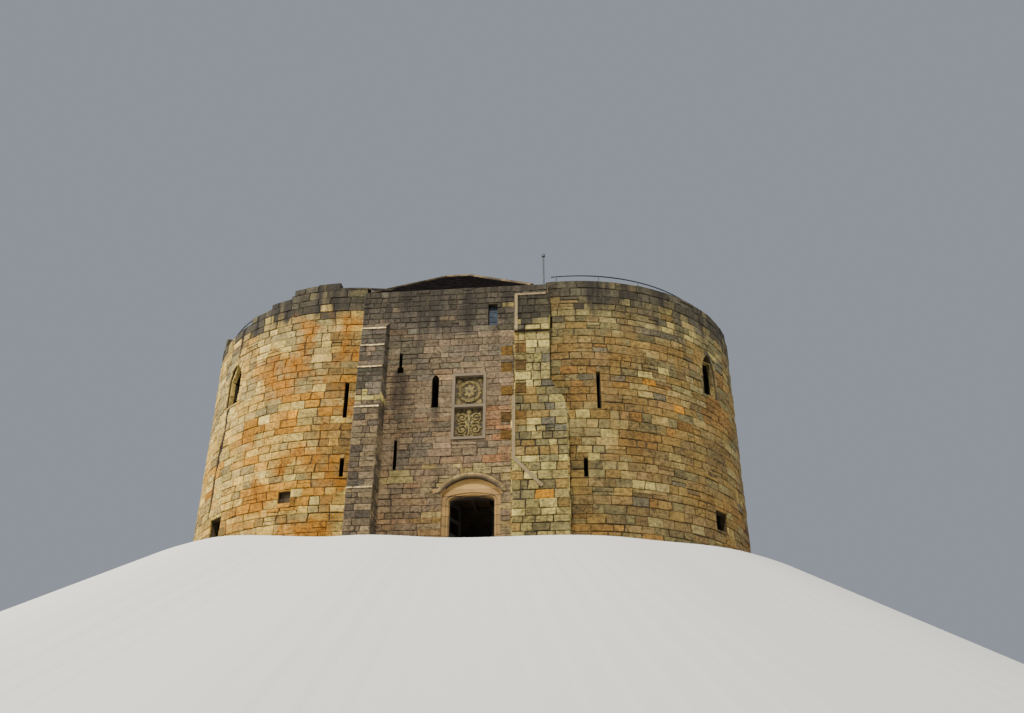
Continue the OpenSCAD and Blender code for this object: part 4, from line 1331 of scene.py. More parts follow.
@dataclass(frozen=True)
class Lobe:
    """One round lobe: outer and inner faces, parapet and wall walk."""

    name: str
    seed: int
    mirror: Point
    cut: float
    holes: tuple[Hole, ...]
    palette: Palette
    upper: Palette
    court_top: float
    regions: tuple[Region, ...] = ()
    tops: tuple[tuple[float, float, float], ...] = ()
    cracks: tuple[tuple[Point, ...], ...] = ()
    trim: Palette = MELLOW_TOP
    change: float = 7.9
    doorway: Point = (316.0, 328.8)
    shell: Shell = Shell()

    def build(self, finish: Material, dark: Material) -> None:
        """Lays all its faces.

        Args:
            finish: The finish of the walls.
            dark: The finish of the parapet.
        """
        self.outside(finish)
        self.inside(finish)
        self.crown(dark)

    def above(self, face: RoundFace) -> list[Gap]:
        """A gap over each part of the broken parapet."""
        parts = [(face.turn(start), face.turn(end), height) for start, end, height in self.tops]
        return [Gap((low + high) / 2, self.shell.walk + height, high - low, 5.0) for low, high, height in parts]

    def highest(self) -> float:
        """The height of its parapet's highest part."""
        return max((self.shell.walk + t[2] for t in self.tops), default=self.shell.parapet_top)

    def outside(self, finish: Material) -> None:
        """Lays the outer face, from the ground to the top of the parapet.

        Args:
            finish: Its finish.
        """
        mason = Mason(f"{self.name}_outer_stones", self.seed)
        face = RoundFace(self.shell.centre, self.shell.outer, self.mirror)
        low, high = self.shell.span(self.shell.outer, self.cut)
        zones = ((self.change, self.palette), (self.shell.cap, self.upper), (SKY, CAP))
        look = Look(mason, zones, self.regions)
        cracks = [crack([(face.turn(angle), z) for angle, z in line]) for line in self.cracks]
        gaps = [*(hole.outside(face) for hole in self.holes), *self.above(face), *cracks]
        # Sunken near-black stones fill each crack as painted shade inside the open joint
        for gap in cracks:
            mason.lay(face, gap.widened, (gap.z, gap.top), SUNKEN, mason.look(CRACK_SHADE))
        mason.lay(face, (face.turn(low), face.turn(high)), (0.0, self.highest()), RUBBLE, look, gaps)
        for gap in gaps:
            if gap.ring:
                mason.surround(face, gap, SQUARED, mason.look(self.trim))
        mason.finish(finish, "shell_stone")

    def inside(self, finish: Material) -> None:
        """Lays the inner face of the bay, up to the wall walk.

        Args:
            finish: Its finish.
        """
        mason = Mason(f"{self.name}_inner_stones", self.seed + 50)
        face = RoundFace(self.shell.centre, self.shell.inner, self.mirror, inward=True)
        look = Look(mason, ((self.shell.inner_change, self.palette), (SKY, self.upper)))
        gaps = [hole.inside(face) for hole in self.holes if hole.through]
        low, high = self.shell.span(self.shell.inner, self.cut, top=True)
        share = (self.shell.spacing - self.cut) / self.shell.inner
        end = 360 - degrees(acos(share)) if self.cut else high
        mason.lay(face, (face.turn(low), face.turn(end)), (0.0, self.shell.walk), INNER, look, gaps)
        if self.cut:
            first, last = (face.turn(angle) for angle in self.doorway)
            gaps = [Gap((first + last) / 2, 0.0, last - first, INNER_DOOR_TOP)] if self.mirror[0] < 0 else []
            mason.lay(face, (face.turn(end), face.turn(high)), (0.0, self.court_top), INNER, look, gaps)
        mason.finish(finish, "shell_stone")

    def crown(self, finish: Material) -> None:
        """Lays the inner face of the parapet, its top and the wall walk.

        Args:
            finish: Their finish.
        """
        shell = self.shell
        mason = Mason(f"{self.name}_parapet_and_walk_stones", self.seed + 90)
        look = mason.look(CAP)
        edge = shell.outer - shell.parapet
        face = RoundFace(shell.centre, edge, self.mirror, inward=True)
        low, high = shell.span(edge, self.cut)
        mason.lay(face, (face.turn(low), face.turn(high)), (shell.walk, self.highest()), COURSED, look,
                  self.above(face))
        for start, end, height in self.tops or ((90.0, 360.0, shell.parapet_top - shell.walk),):
            top = RingTop(shell.centre, shell.walk + height, self.mirror)
            first, last = max(start, low), min(end, high)
            if last > first:
                mason.lay(top, (top.turn(first), top.turn(last)), (edge, shell.outer), FLAGS, look)
        walk = RingTop(shell.centre, shell.walk, self.mirror)

        def span(radius: float) -> Point:
            """Where the walk lies at this distance from the lobe's centre."""
            start, end = shell.span(radius, self.cut, top=True)
            return walk.turn(start), walk.turn(end)

        mason.lay(walk, span, (shell.inner, edge), FLAGS, mason.look(SLATY))
        mason.finish(finish, "parapet_stone")


@dataclass(frozen=True)
class CourtCorners:
    """The narrow faces between the lobes' bays, round the open court."""

    shell: Shell = Shell()
    turn: float = 11.6
    door: Point = (0.19, 1.64)
    gate_top: float = 10.02

    def build(self, finish: Material) -> None:
        """Lays the four faces, of which one belongs to the gate building and holds its inner doorway.

        Args:
            finish: Their finish.
        """
        mason = Mason("court_corner_stones", 77)
        look = Look(mason, ((self.shell.inner_change, MELLOW), (SKY, MELLOW_TOP)))
        gate_side = 270.0
        for zero in (0.0, 90.0, 180.0, gate_side):
            face = RoundFace((0.0, 0.0), self.shell.hub, inward=True, zero=zero)
            gaps, top = [], self.shell.walk
            if zero == gate_side:
                top = self.gate_top
                gaps = [Gap(sum(self.door) / 2, 0.0, self.door[1] - self.door[0], INNER_DOOR_TOP)]
            span = face.turn(zero - self.turn), face.turn(zero + self.turn)
            mason.lay(face, span, (0.0, top), INNER, look, gaps)
        mason.finish(finish, "shell_stone")


# The gate building


QUOIN_BEDS = ((7.21, 0.36), (6.55, 0.38), (5.70, 0.34), (4.72, 0.32), (4.1, 0.3))
QUOINS = tuple(Gap(2.045, z, 0.39, h) for z, h in QUOIN_BEDS)


@dataclass(frozen=True)
class GateFront:
    """The front wall of the gate building, round its doorway, windows, panels and buttresses."""

    left: float = -3.08
    right: float = 3.46
    lobe_y: float = -10.15
    back_y: float = -5.90
    top: float = 10.02
    window_sill: float = 8.44
    door_x: float = 0.915
    recess_half_w: float = 0.95
    hood_z: float = 1.59
    hood_r: float = 1.385
    hood_foot: float = 2.30
    panels: Gap = Gap(0.775, 4.13, 1.15, 2.43)
    lancet: Gap = Gap(-0.39, 5.35, 0.24, 1.23, Head.POINTED)
    upper_loop: Cut = keyhole(-1.64, 6.71, (0.21, 0.21), (0.11, 0.54))
    lower_loop: Gap = Gap(-1.64, 3.15, 0.11, 1.03)
    window: Gap = Gap(1.545, 8.44, 0.33, 0.87)
    left_buttress: Gap = Gap(-2.54, 0.0, 0.84, 8.69)
    right_buttress: tuple[Gap, ...] = (Gap(2.85, 0.0, 1.22, 5.60), Gap(2.8725, 5.60, 1.175, 2.44),
                                       Gap(2.90, 8.04, 1.12, 1.58))
    ledges: tuple[tuple[Point, Point], ...] = (
        ((-3.08, -10.45), (3.46, -10.31)), ((2.91, -10.30), (3.46, -5.9)), ((-3.08, -10.30), (-2.89, -5.9)))
    regions: tuple[Region, ...] = (
        Region((-0.75, 0.0), (-0.03, 1.7), Palette(((OCHRE, 2), (ALE, 3), (ROSE, 2))), 0.7),
        Region((-0.75, 0.9), (2.6, 3.25), Palette(((BISCUIT, 2), (PINK, 4), (OLIVE, 1))), 0.5),
        Region((1.4, 3.0), (2.24, 5.4), Palette(((seen(140, 104, 78), 3), (ROSE, 4))), 0.6),
        Region((-2.1, 2.5), (-1.1, 3.1), Palette(((OLIVE, 3), (BISCUIT, 2), (PINK, 2))), 0.6),
        Region((0.1, 7.2), (0.9, 7.5), LEMON, 0.5),
        Region((2.0, 9.18), (2.35, 9.4), LEMON, 1.0),
        Region((-2.2, 0.0), (2.4, 3.0), ROSY_LOW, 0.6),
    )

    def push(self, u: float, z: float) -> Point:
        """Moves a corner out of the round hood.

        Args:
            u: Its place along the wall.
            z: Its height.

        Returns:
            The place on the hood's edge, or the same place where the hood doesn't reach it.
        """
        du, dz = u - self.door_x, z - self.hood_z
        reach, at_middle, slack = hypot(du, dz), 1e-6, 0.02
        if z < self.hood_foot - slack or reach > self.hood_r or reach < at_middle:
            return u, z
        return self.door_x + du / reach * self.hood_r, self.hood_z + dz / reach * self.hood_r

    def gaps(self) -> list[Gap]:
        """Everything that the stones go round."""
        doorway = Gap(self.door_x, 0.0, 2 * self.recess_half_w, self.hood_foot)
        return [doorway, self.panels, self.lancet, self.upper_loop, self.lower_loop, *QUOINS, self.window,
                self.left_buttress, *self.right_buttress]

    def build(self, finish: Material) -> None:
        """Lays the front, the narrow returns beside the lobes and the tops of the walls.

        Args:
            finish: Their finish.
        """
        mason = Mason("gate_front_stones", 11)
        look = Look(mason, ((6.6, ROSY), (8.3, DULL_PINK), (SKY, SLATY)), self.regions)
        face, ends = upright((0.0, GATE_FRONT), ACROSS), (self.left - 0.02, self.right)
        mason.lay(face, ends, (0.0, self.window_sill), COURSED, look, self.gaps(), breaks=(self.hood_foot,),
                  push=self.push)
        mason.lay(face, ends, (self.window_sill, self.top), SMALL, look, self.gaps())
        for gap in QUOINS:
            bond = replace(COURSED, low=gap.h, high=gap.h, split=0.0)
            mason.lay(face, gap.sides(gap.z), (gap.z, gap.top), bond, mason.look(QUOIN))
        rosy, upper = mason.look(ROSY), (WALK, self.top)
        mason.wall((self.left, self.lobe_y), FORWARD, 0.30, (0.0, self.top), COURSED, rosy)
        mason.wall((self.left, self.back_y), FORWARD, 4.25, upper, COURSED, rosy)
        mason.wall((self.right, GATE_FRONT), BACKWARD, 4.55, upper, COURSED, rosy)
        for low, high in self.ledges:
            ledge = FlatFace(Vector((*low, self.top)), *(Vector(axis) for axis in Matrix.Identity(3)))
            mason.lay(ledge, (0.0, high[0] - low[0]), (0.0, high[1] - low[1]), FLAGS, mason.look(SLATY))
        mason.finish(finish, "gate_stone")


def upright(foot: Point, along: Point) -> FlatFace:
    """An upright face from a point of the plan in a direction, with its outside on the right."""
    origin, direction, outward = (Vector((x, y, 0.0)) for x, y in (foot, along, (along[1], -along[0])))
    return FlatFace(origin, direction, Vector((0, 0, 1)), outward)


@dataclass(frozen=True)
class LeftButtress:
    """The buttress with five sloping set-offs."""

    left: float = -2.96
    width: float = 0.84
    wall: float = GATE_FRONT
    out: float = 0.80
    set_off: float = 0.075
    nosing: Point = (0.055, 0.030)
    tops: Row = (2.30, 5.16, 6.69, 7.56, 8.27)
    slope: float = 0.8
    pale_top: float = 6.0
    mossy: Region = Region((0.0, 5.45), (0.9, 5.8), Palette(((KHAKI, 1),)), 0.9)

    def build(self, finish: Material, highlit_nosing_stone: Material) -> None:
        """Lays each stage's front, sides, nosing and slope.

        Args:
            finish: The finish of its stones.
            highlit_nosing_stone: The finish of the nosings' fronts, pale as a painted highlight.
        """
        mason, trim = Mason("left_buttress_stones", 21), Mason("left_buttress_nosings", 22)
        # The nosings' fronts take very pale stone as a painted highlight; their sides keep the body's colours
        body, highlit_lip_look = Look(mason, ((self.pale_top, ASHEN), (SKY, SLATY)), (self.mossy,)), trim.look(HIGHLIT_LIPS)
        foot, right, length = 0.0, self.left + self.width, hypot(1.0, self.slope)
        up = Vector((0, 1 / length, self.slope / length))
        outward = Vector((0, -self.slope / length, 1 / length))
        for number, top in enumerate(self.tops):
            out = self.out - self.set_off * number
            high, lip = top - self.nosing[0], out + self.nosing[1]
            stage, edge = (foot, high), (high, top)
            mason.wall((self.left, self.wall - out), ACROSS, self.width, stage, STAGE, body)
            mason.wall((right, self.wall - out), BACKWARD, out, stage, STAGE, body)
            mason.wall((self.left, self.wall), FORWARD, out, stage, STAGE, body)
            trim.wall((self.left, self.wall - lip), ACROSS, self.width, edge, NOSING, highlit_lip_look)
            mason.wall((right, self.wall - lip), BACKWARD, lip, edge, NOSING, body)
            face = FlatFace(Vector((self.left, self.wall - lip, top)), Vector((1, 0, 0)), up, outward)
            following = self.set_off + self.nosing[1] if number < len(self.tops) - 1 else lip
            mason.lay(face, (0.0, self.width), (0.0, following * length), SLAB, body)
            foot = top + following * self.slope
        mason.finish(finish, "buttress_stone")
        trim.finish(highlit_nosing_stone, "buttress_stone")


@dataclass(frozen=True)
class RightButtress:
    """The patched buttress with a ragged right edge and an overhanging head."""

    foot_x: float = 2.24
    foot_w: float = 1.81
    shaft_x: float = 2.34
    head_right: float = 3.52
    wall: float = GATE_FRONT
    out: float = 0.12
    lap: float = 0.12
    step_z: float = 5.60
    head_z: float = 8.04
    head_change: float = 8.40
    head_top: float = 9.50
    side_depth: float = 0.26
    head_depth: float = 0.15
    edge: tuple[Point, ...] = ((4.05, 0.0), (4.05, 5.13), (3.96, 5.48), (3.64, 5.96), (3.52, 6.20), (3.52, 8.04))
    regions: tuple[Region, ...] = (
        Region((-1, 3.4), (0.30, 8.0), Palette(((UMBER, 3), (ALE, 3), (BISCUIT, 2))), 0.3),
        Region((1.0, 5.2), (2.0, 8.1), LICHEN, 0.6),
        Region((0.2, 6.0), (2.0, 8.1), PALE_SHAFT),
        Region((1.0, 4.0), (2.0, 5.3), GREENISH, 0.6),
        Region((0.9, 1.95), (1.4, 2.35), ORANGE, 0.6),
    )

    def build(self, finish: Material) -> None:
        """Lays the shaft, its edges and the head.

        Args:
            finish: Their finish.
        """
        mason = Mason("right_buttress_stones", 31)
        look = mason.look(MIXED, *self.regions)
        front, step, beyond = self.wall - self.out, self.shaft_x - self.foot_x, 9.0
        face = upright((self.foot_x, front), ACROSS)
        edge = Cut.along(*((z, u - self.foot_x, beyond) for u, z in self.edge))
        quoins = [Gap(0.29, gap.z, 0.38, gap.h) for gap in QUOINS[:4]]
        gaps = [edge, Gap(step / 2 - 0.2, self.step_z, step + 0.4, beyond), *quoins]
        for gap in quoins:
            bond = replace(SQUARED, low=gap.h, high=gap.h)
            mason.lay(face, gap.sides(gap.z), (gap.z, gap.top), bond, mason.look(QUOIN))
        mason.lay(face, (0.0, self.foot_w), (0.0, self.head_z), SQUARED, look, gaps, breaks=(self.step_z,))
        mason.wall((self.foot_x, self.wall), FORWARD, self.out, (0.0, self.step_z), SQUARED, look)
        mason.wall((self.shaft_x, self.wall), FORWARD, self.out, (self.step_z, self.head_z), SQUARED, look)
        mason.wall((self.edge[0][0], front), BACKWARD, self.side_depth, (0.0, self.edge[1][1]), SQUARED, look)
        slaty = Look(mason, ((self.head_change, HEAD_LOW), (SKY, HEAD_HIGH)))
        reach, rise = self.out + self.lap, (self.head_z, self.head_top)
        head_w = self.head_right - self.shaft_x
        mason.wall((self.shaft_x, self.wall - reach), ACROSS, head_w, rise, SQUARED, slaty)
        mason.wall((self.shaft_x, self.wall), FORWARD, reach, rise, SQUARED, slaty)
        depth = reach + self.head_depth
        mason.wall((self.head_right, self.wall - reach), BACKWARD, depth, rise, SQUARED, slaty)
        mason.finish(finish, "buttress_stone")


@dataclass(frozen=True)
class TiledRoof:
    """The low hipped roof: rows of plain tiles, with half-round ones along its hips and ridge."""

    left: float = -2.88
    right: float = 2.90
    front: float = -10.30
    back: float = -5.91
    eaves: float = 10.12
    rise: float = 1.98
    apex_x: float = -0.14
    hip_rise: float = 2.35
    verge: float = 0.02
    bare_top: float = 0.05
    hip_length: float = 0.30
    hip_lap: float = 1.12
    hip_radii: Point = (0.105, 0.095)
    hip_sink: float = 0.045

    def ridge(self) -> tuple[Vector, Vector]:
        """Finds the ridge.

        Returns:
            Its left and its right end.
        """
        share = self.rise / self.hip_rise
        middle, top = (self.front + self.back) / 2, self.eaves + self.rise
        first = self.left + (self.apex_x - self.left) * share
        last = self.right + (self.apex_x - self.right) * share
        return Vector((first, middle, top)), Vector((last, middle, top))

    def slopes(self) -> list[tuple[Vector, Vector, Vector, Vector]]:
        """Finds the four slopes.

        Returns:
            The left and right foot and the left and right top of each, seen from outside.
        """
        first, last = self.ridge()
        plan = (self.left, self.front), (self.right, self.front), (self.right, self.back), (self.left, self.back)
        corners = [Vector((x, y, self.eaves)) for x, y in plan]
        return [(corners[0], corners[1], first, last), (corners[1], corners[2], last, last),
                (corners[2], corners[3], last, first), (corners[3], corners[0], first, first)]

    def build(self, tile: Material) -> None:
        """Lays the rows of tiles and the hip tiles.

        Args:
            tile: Their finish.
        """
        mason = Mason("roof_tiles", 41)
        look = mason.look(CLAY)
        for foot, far, top_left, top_right in self.slopes():
            along = (far - foot).normalized()
            outward = along.cross(top_left - foot).normalized()
            up = outward.cross(along)
            height, width = (top_left - foot).dot(up), (far - foot).dot(along)
            near, end = (top_left - foot).dot(along), (top_right - foot).dot(along)

            def span(z: float) -> Point:
                """Where the slope lies at this distance from its eaves."""
                share = z / height
                return near * share + self.verge, width + (end - width) * share - self.verge

            mason.lay(FlatFace(foot, along, up, outward), span, (0.0, height - self.bare_top), TILES, look)
        mason.finish(tile, "roof_tile")
        self.hips(tile)

    def hips(self, tile: Material) -> None:
        """Sets half-round tiles along the hips and the ridge.

        Args:
            tile: Their finish.
        """
        bm = bmesh.new()
        colours = bm.verts.layers.float_color.new("stone")
        rng = random.Random(43)
        first, last = self.ridge()
        corners = [slope[0] for slope in self.slopes()]
        lines = [(corners[i], end) for i, end in ((0, first), (3, first), (1, last), (2, last))]
        lines.append((first, last))
        for foot, top in lines:
            length, count = (top - foot).length, max(2, round((top - foot).length / self.hip_length))
            direction = (top - foot).normalized()
            turned = direction.to_track_quat("Z", "Y").to_matrix().to_4x4()
            for number in range(count):
                middle = foot + direction * length * (number + 0.5) / count
                made = bmesh.ops.create_cone(bm, cap_ends=True, segments=10, radius1=self.hip_radii[0],
                                             radius2=self.hip_radii[1],
                                             depth=length / count * self.hip_lap)["verts"]
                place = Matrix.Translation(middle + TOWER - Vector((0, 0, self.hip_sink)))
                bmesh.ops.transform(bm, matrix=place @ turned, verts=made)
                pale = 1.0 if foot in (corners[1], first) else 0.35
                base = rng.choice((tone(104, 90, 64), tone(86, 74, 54), tone(70, 60, 46)))
                for vert in made:
                    vert[colours] = (*(c * pale for c in base), rng.random())
        to_piece(bm, "hip_tiles", tile)


# Doorway, panels, window and timber


@dataclass(frozen=True)
class CarvedPanels:
    """Two weathered reliefs of leaves: a rosette in a wreath, and a pair of scrolls."""

    x: float = 0.775
    lower: float = 4.76
    upper: float = 5.93
    face: float = -10.352
    half_w: float = 0.46
    half_h: float = 0.52
    wreath_leaves: int = 30
    wreath: tuple[Point, ...] = ((0.335, 130.0), (0.375, 60.0))
    petals: tuple[Point, ...] = ((0.15, 0.0), (0.08, 0.5))
    petal_count: int = 8
    scroll_steps: int = 26
    scroll_turns: float = 1.55
    scroll_radii: Point = (0.19, 0.045)
    scroll_start: float = 1.9
    worn: tuple[Point, ...] = ((14.0, 0.010), (40.0, 0.004))
    bm: Mesh = field(default_factory=bmesh.new)

    def lump(self, u: float, z: float, size: Triple, turn: float = 0.0) -> None:
        """Adds one rounded boss.

        Args:
            u: Its place across the panels.
            z: Its height.
            size: Its half length, half width and how far it stands out.
            turn: The direction of its length, in degrees.
        """
        made = bmesh.ops.create_icosphere(self.bm, subdivisions=2, radius=1.0)["verts"]
        shape = Matrix.Diagonal((size[0] * 1.15, size[2], size[1] * 1.5, 1.0))
        spin = Matrix.Rotation(radians(-turn), 4, "Y")
        place = Matrix.Translation((self.x + u, self.face + TOWER_Y, z))
        bmesh.ops.transform(self.bm, matrix=place @ spin @ shape, verts=made)

    def ring(self, count: int, reach: float, size: Triple, lean: float, start: float = 0.0) -> None:
        """Sets bosses in a ring on the upper panel, each turned from the radius by its lean."""
        for turn in ((number + start) / count * tau for number in range(count)):
            self.lump(reach * cos(turn), self.upper + reach * sin(turn), size,
                      degrees(turn) + lean)

    def scroll(self, u: float, z: float, hand: float) -> None:
        """Adds a scroll that curls in to a boss, with leaves on its outside.

        Args:
            u: The place of its boss across the panels.
            z: Its height.
            hand: 1 for a scroll that starts on the right, -1 for one on the left.
        """
        last, (wide, narrow) = self.scroll_steps - 1, self.scroll_radii
        for step in range(self.scroll_steps):
            turn = step / last * self.scroll_turns * tau - self.scroll_start
            reach = wide - (wide - narrow) * step / last
            du, dz = hand * reach * cos(turn), reach * sin(turn)
            heading = degrees(atan2(dz, du))
            self.lump(u + du, z + dz, (0.034, 0.024, 0.052), heading + 90)
            if step % 5 == 2 and step < 16:
                self.lump(u + du * 1.3, z + dz * 1.3, (0.06, 0.024, 0.035), heading + 35 * hand)
        self.lump(u, z, (0.036, 0.036, 0.06))

    def corner(self, side: int, level: int) -> None:
        """Sets three leaves in a corner of the upper panel: side and level are each -1 or 1."""
        for turn in (20, 45, 70):
            self.lump(side * (self.half_w - 0.03 - 0.10 * cos(radians(turn))),
                      self.upper + level * (self.half_h - 0.04 - 0.10 * sin(radians(turn))),
                      (0.08, 0.025, 0.04), side * level * turn)

    def build(self, finish: Material) -> None:
        """Models both reliefs and wears them down.

        Args:
            finish: Their finish.
        """
        for reach, lean in self.wreath:
            self.ring(self.wreath_leaves, reach, (0.052, 0.02, 0.045), lean)
        for reach, start in self.petals:
            self.ring(self.petal_count, reach, (0.075, 0.04, 0.05), 0.0, start)
        self.lump(0, self.upper, (0.05, 0.05, 0.08))
        for side in (-1, 1):
            self.corner(side, -1)
            self.corner(side, 1)
            self.scroll(side * 0.235, self.lower + 0.20, side)
            self.scroll(side * 0.235, self.lower - 0.24, -side)
            self.lump(side * 0.08, self.lower - 0.02, (0.13, 0.03, 0.05), 90 - side * 25)
        self.lump(0, self.lower - 0.02, (0.42, 0.028, 0.06), 90)
        self.lump(0, self.lower + 0.42, (0.10, 0.06, 0.06), 90)
        noise.seed_set(5)
        for vert in self.bm.verts:
            shifts = [noise.noise_vector(vert.co * scale) * depth for scale, depth in self.worn]
            vert.co += shifts[0] + shifts[1]
        to_piece(self.bm, "panel_reliefs", finish, smooth=True)


def bar(bm: Mesh, low: Triple, high: Triple, worn: float = 0.004) -> None:
    """Adds a bar between two corners, in the tower's frame, with worn edges.

    Args:
        bm: The mesh that it goes into.
        low: Its lowest corner.
        high: Its highest corner.
        worn: The width of its worn edges.
    """
    made = bmesh.ops.create_cube(bm, size=1.0)["verts"]
    size = [b - a for a, b in zip(low, high)]
    middle = Vector([(a + b) / 2 for a, b in zip(low, high)]) + TOWER
    bmesh.ops.transform(bm, matrix=Matrix.Translation(middle) @ Matrix.Diagonal((*size, 1.0)), verts=made)
    edges = list({edge for vert in made for edge in vert.link_edges})
    bmesh.ops.bevel(bm, geom=edges, offset=worn, segments=1, profile=0.5, affect="EDGES", material=-1)


@dataclass(frozen=True)
class GlazedWindow:
    """The bars in front of the glass of the small upper window."""

    x: float = 1.545
    z: float = 8.44
    w: float = 0.33
    h: float = 0.87
    depth: float = -10.285
    frame_w: float = 0.028
    thick: float = 0.012
    upright_half_w: float = 0.011
    cross_h: float = 0.024
    crosses: int = 5

    def build(self, finish: Material) -> None:
        """Makes the frame, one upright and three cross bars.

        Args:
            finish: Their finish.
        """
        bm, room, set_in = bmesh.new(), 0.001, 0.01
        left, right = self.x - self.w / 2 + room, self.x + self.w / 2 - room
        front, back, top = self.depth, self.depth + self.thick, self.z + self.h
        for x in (left, right - self.frame_w):
            bar(bm, (x, front, self.z + room), (x + self.frame_w, back, top - room))
        half, end = self.upright_half_w, 2 * set_in
        bar(bm, (self.x - half, front, self.z + end), (self.x + half, back, top - end))
        for number in range(self.crosses):
            z = self.z + 2 * room + (self.h - self.frame_w) * number / (self.crosses - 1)
            bar(bm, (left + set_in, front + room, z), (right - set_in, back - room / 2, z + self.cross_h))
        to_piece(bm, "upper_window_bars", finish)


@dataclass(frozen=True)
class FloorTimbers:
    """The joists under the two floors of the gate building."""

    left: float = -2.07
    right: float = 2.45
    front: float = -9.44
    back: float = -7.76
    undersides: Row = (2.75, 7.60)
    count: int = 9
    size: Point = (0.12, 0.15)
    inset: float = 0.1

    def build(self, finish: Material) -> None:
        """Makes the joists.

        Args:
            finish: Their finish.
        """
        bm, (width, depth) = bmesh.new(), self.size
        spread = self.right - self.left - width - 2 * self.inset
        for z in self.undersides:
            for number in range(self.count):
                x = self.left + self.inset + spread * number / (self.count - 1)
                bar(bm, (x, self.front, z - depth), (x + width, self.back, z - 0.001), 0.012)
        to_piece(bm, "floor_joists", finish)


@dataclass(frozen=True)
class LeafPegs:
    """The pegs through the joints of a gate leaf, and the nails of its straps."""

    door_x: float = 0.915
    axis_x: float = 0.90
    axis_y: float = -9.899
    opened: float = 70.0
    height: float = 0.006
    peg_radii: Point = (0.013, 0.010)
    peg_x: Point = (-0.065, -0.839)
    peg_y: Point = (-0.0965, -0.0335)
    peg_z: Row = (0.08, 0.6188, 1.1575, 1.696, 2.215)
    nail_radii: Point = (0.009, 0.005)
    nail_x: Row = (-0.07, -0.17, -0.27, -0.37, -0.47)
    nail_y: float = -0.0235
    nail_z: Point = (0.455, 1.885)

    def studs(self, placed: Matrix, spots: Sequence[Triple], radii: Point) -> Mesh:
        """Sets short cones on a leaf.

        Args:
            placed: Where the leaf stands.
            spots: Their places on the leaf.
            radii: Their radius at either end.

        Returns:
            Their mesh.
        """
        bm, flat = bmesh.new(), Matrix.Rotation(radians(90), 4, "X")
        for spot in spots:
            made = bmesh.ops.create_cone(bm, cap_ends=True, segments=8, radius1=radii[0], radius2=radii[1],
                                         depth=self.height)["verts"]
            bmesh.ops.transform(bm, matrix=placed @ Matrix.Translation(spot) @ flat, verts=made)
        bmesh.ops.recalc_face_normals(bm, faces=bm.faces)
        return bm

    def build(self, side: int, body: str, wood: Material, iron: Material) -> None:
        """Makes them on one leaf.

        Args:
            side: -1 for the left leaf, 1 for the right.
            body: The body that it rides on.
            wood: The finish of the pegs.
            iron: The finish of the nails.
        """
        turn = Matrix.Rotation(radians(-self.opened), 4, "Z")
        hinge = Matrix.Translation((self.axis_x, self.axis_y, 0.0))
        mirror = Matrix.Diagonal((float(side), 1.0, 1.0, 1.0))
        placed = Matrix.Translation((self.door_x, TOWER_Y, 0.0)) @ mirror @ hinge @ turn
        pegs = [(x, y, z) for x in self.peg_x for z in self.peg_z for y in self.peg_y]
        nails = [(x, self.nail_y, z) for z in self.nail_z for x in self.nail_x]
        to_piece(self.studs(placed, pegs, self.peg_radii), f"{body}_pegs", wood, body)
        to_piece(self.studs(placed, nails, self.nail_radii), f"{body}_nails", iron, body)


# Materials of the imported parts


FINISHES = {
    "core": CoreWall("coursed core stone", tone(82, 70, 50), tone(46, 39, 30)),
    "gate": CoreWall("coursed gate stone", tone(66, 57, 46), tone(42, 36, 30), shadowed=False),
    "cap": CoreWall("parapet core stone", tone(62, 56, 44), tone(40, 36, 29), shadowed=False),
    # The drip stone's near-white tone is partly its own pale stone and partly a painted highlight of the sun on
    # its narrow faces
    "drip": DressedStone("pale dressed stone", seen(240, 216, 168), seen(140, 124, 96), wear=0.7),
    "jamb": DressedStone("orange dressed stone", seen(190, 156, 108), seen(150, 124, 86), Joints.BEDS,
                         shadow=(-10.28, -10.14)),
    "plaster": DressedStone("smooth orange-buff stone", seen(208, 176, 124), seen(200, 166, 114), wear=0.04),
    "hood": DressedStone("hood stones", seen(176, 154, 110), seen(126, 106, 72), Joints.RADIAL, wear=0.7,
                         hollow=(0.56, 0.66)),
    "relief": DressedStone("weathered carved stone", seen(176, 160, 114), seen(140, 126, 86), wear=0.9,
                           patch=9.0, hollow=(0.54, 0.62)),
    # The carved ground is darker than the reliefs: partly its own worn tone, partly painted shade in the hollows
    # between them
    "ground": DressedStone("worn carved ground with painted shade", seen(146, 130, 88), seen(108, 94, 64), wear=0.95,
                           patch=7.0, hollow=(0.47, 0.55)),
    "border": DressedStone("frame stone", seen(150, 136, 114), seen(120, 108, 90), wear=0.4),
    "oak": Oak("weathered oak", tone(56, 52, 44), tone(34, 31, 27)),
    "floor": Oak("old floor oak", tone(98, 76, 54), tone(58, 44, 32), (0.08, 1.0, 1.0)),
    "iron": Metal("blackened iron", tone(38, 37, 38), tone(84, 58, 42), 0.6, 0.35),
    "rail": Metal("dark painted metal", tone(44, 50, 56), tone(96, 84, 72), 0.42, 0.25),
    "tiles": CoreWall("roof core", tone(26, 21, 21), tone(18, 15, 15), 0.11, 0.17, False),
    "glass": Pane(),
}

# A word of a part's name and its finish: the first word that fits counts
RULES = (
    ("parapet", "cap"), ("handrail", "rail"), ("mast", "rail"), ("gate_roof", "tiles"), ("floor", "floor"),
    ("gate_leaf", "oak"), ("strap", "iron"), ("hooks", "iron"), ("glass", "glass"), ("door_jamb", "jamb"),
    ("door_head", "jamb"), ("tympanum", "plaster"), ("hood", "hood"), ("drip_stone", "drip"),
    ("panel_frame", "border"), ("carved", "ground"), ("buttress", "gate"), ("gate_", "gate"), ("wall", "core"),
)


class Dress:
    """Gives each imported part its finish."""

    def __init__(self) -> None:
        """Makes the finishes."""
        self.made = {key: finish.material() for key, finish in FINISHES.items()}

    def apply(self) -> None:
        """Puts each part's finish in its slots."""
        for name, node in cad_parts.items():
            finish = self.made[next(key for word, key in RULES if word in name)]
            node.data.materials.clear()
            node.data.materials.append(finish)


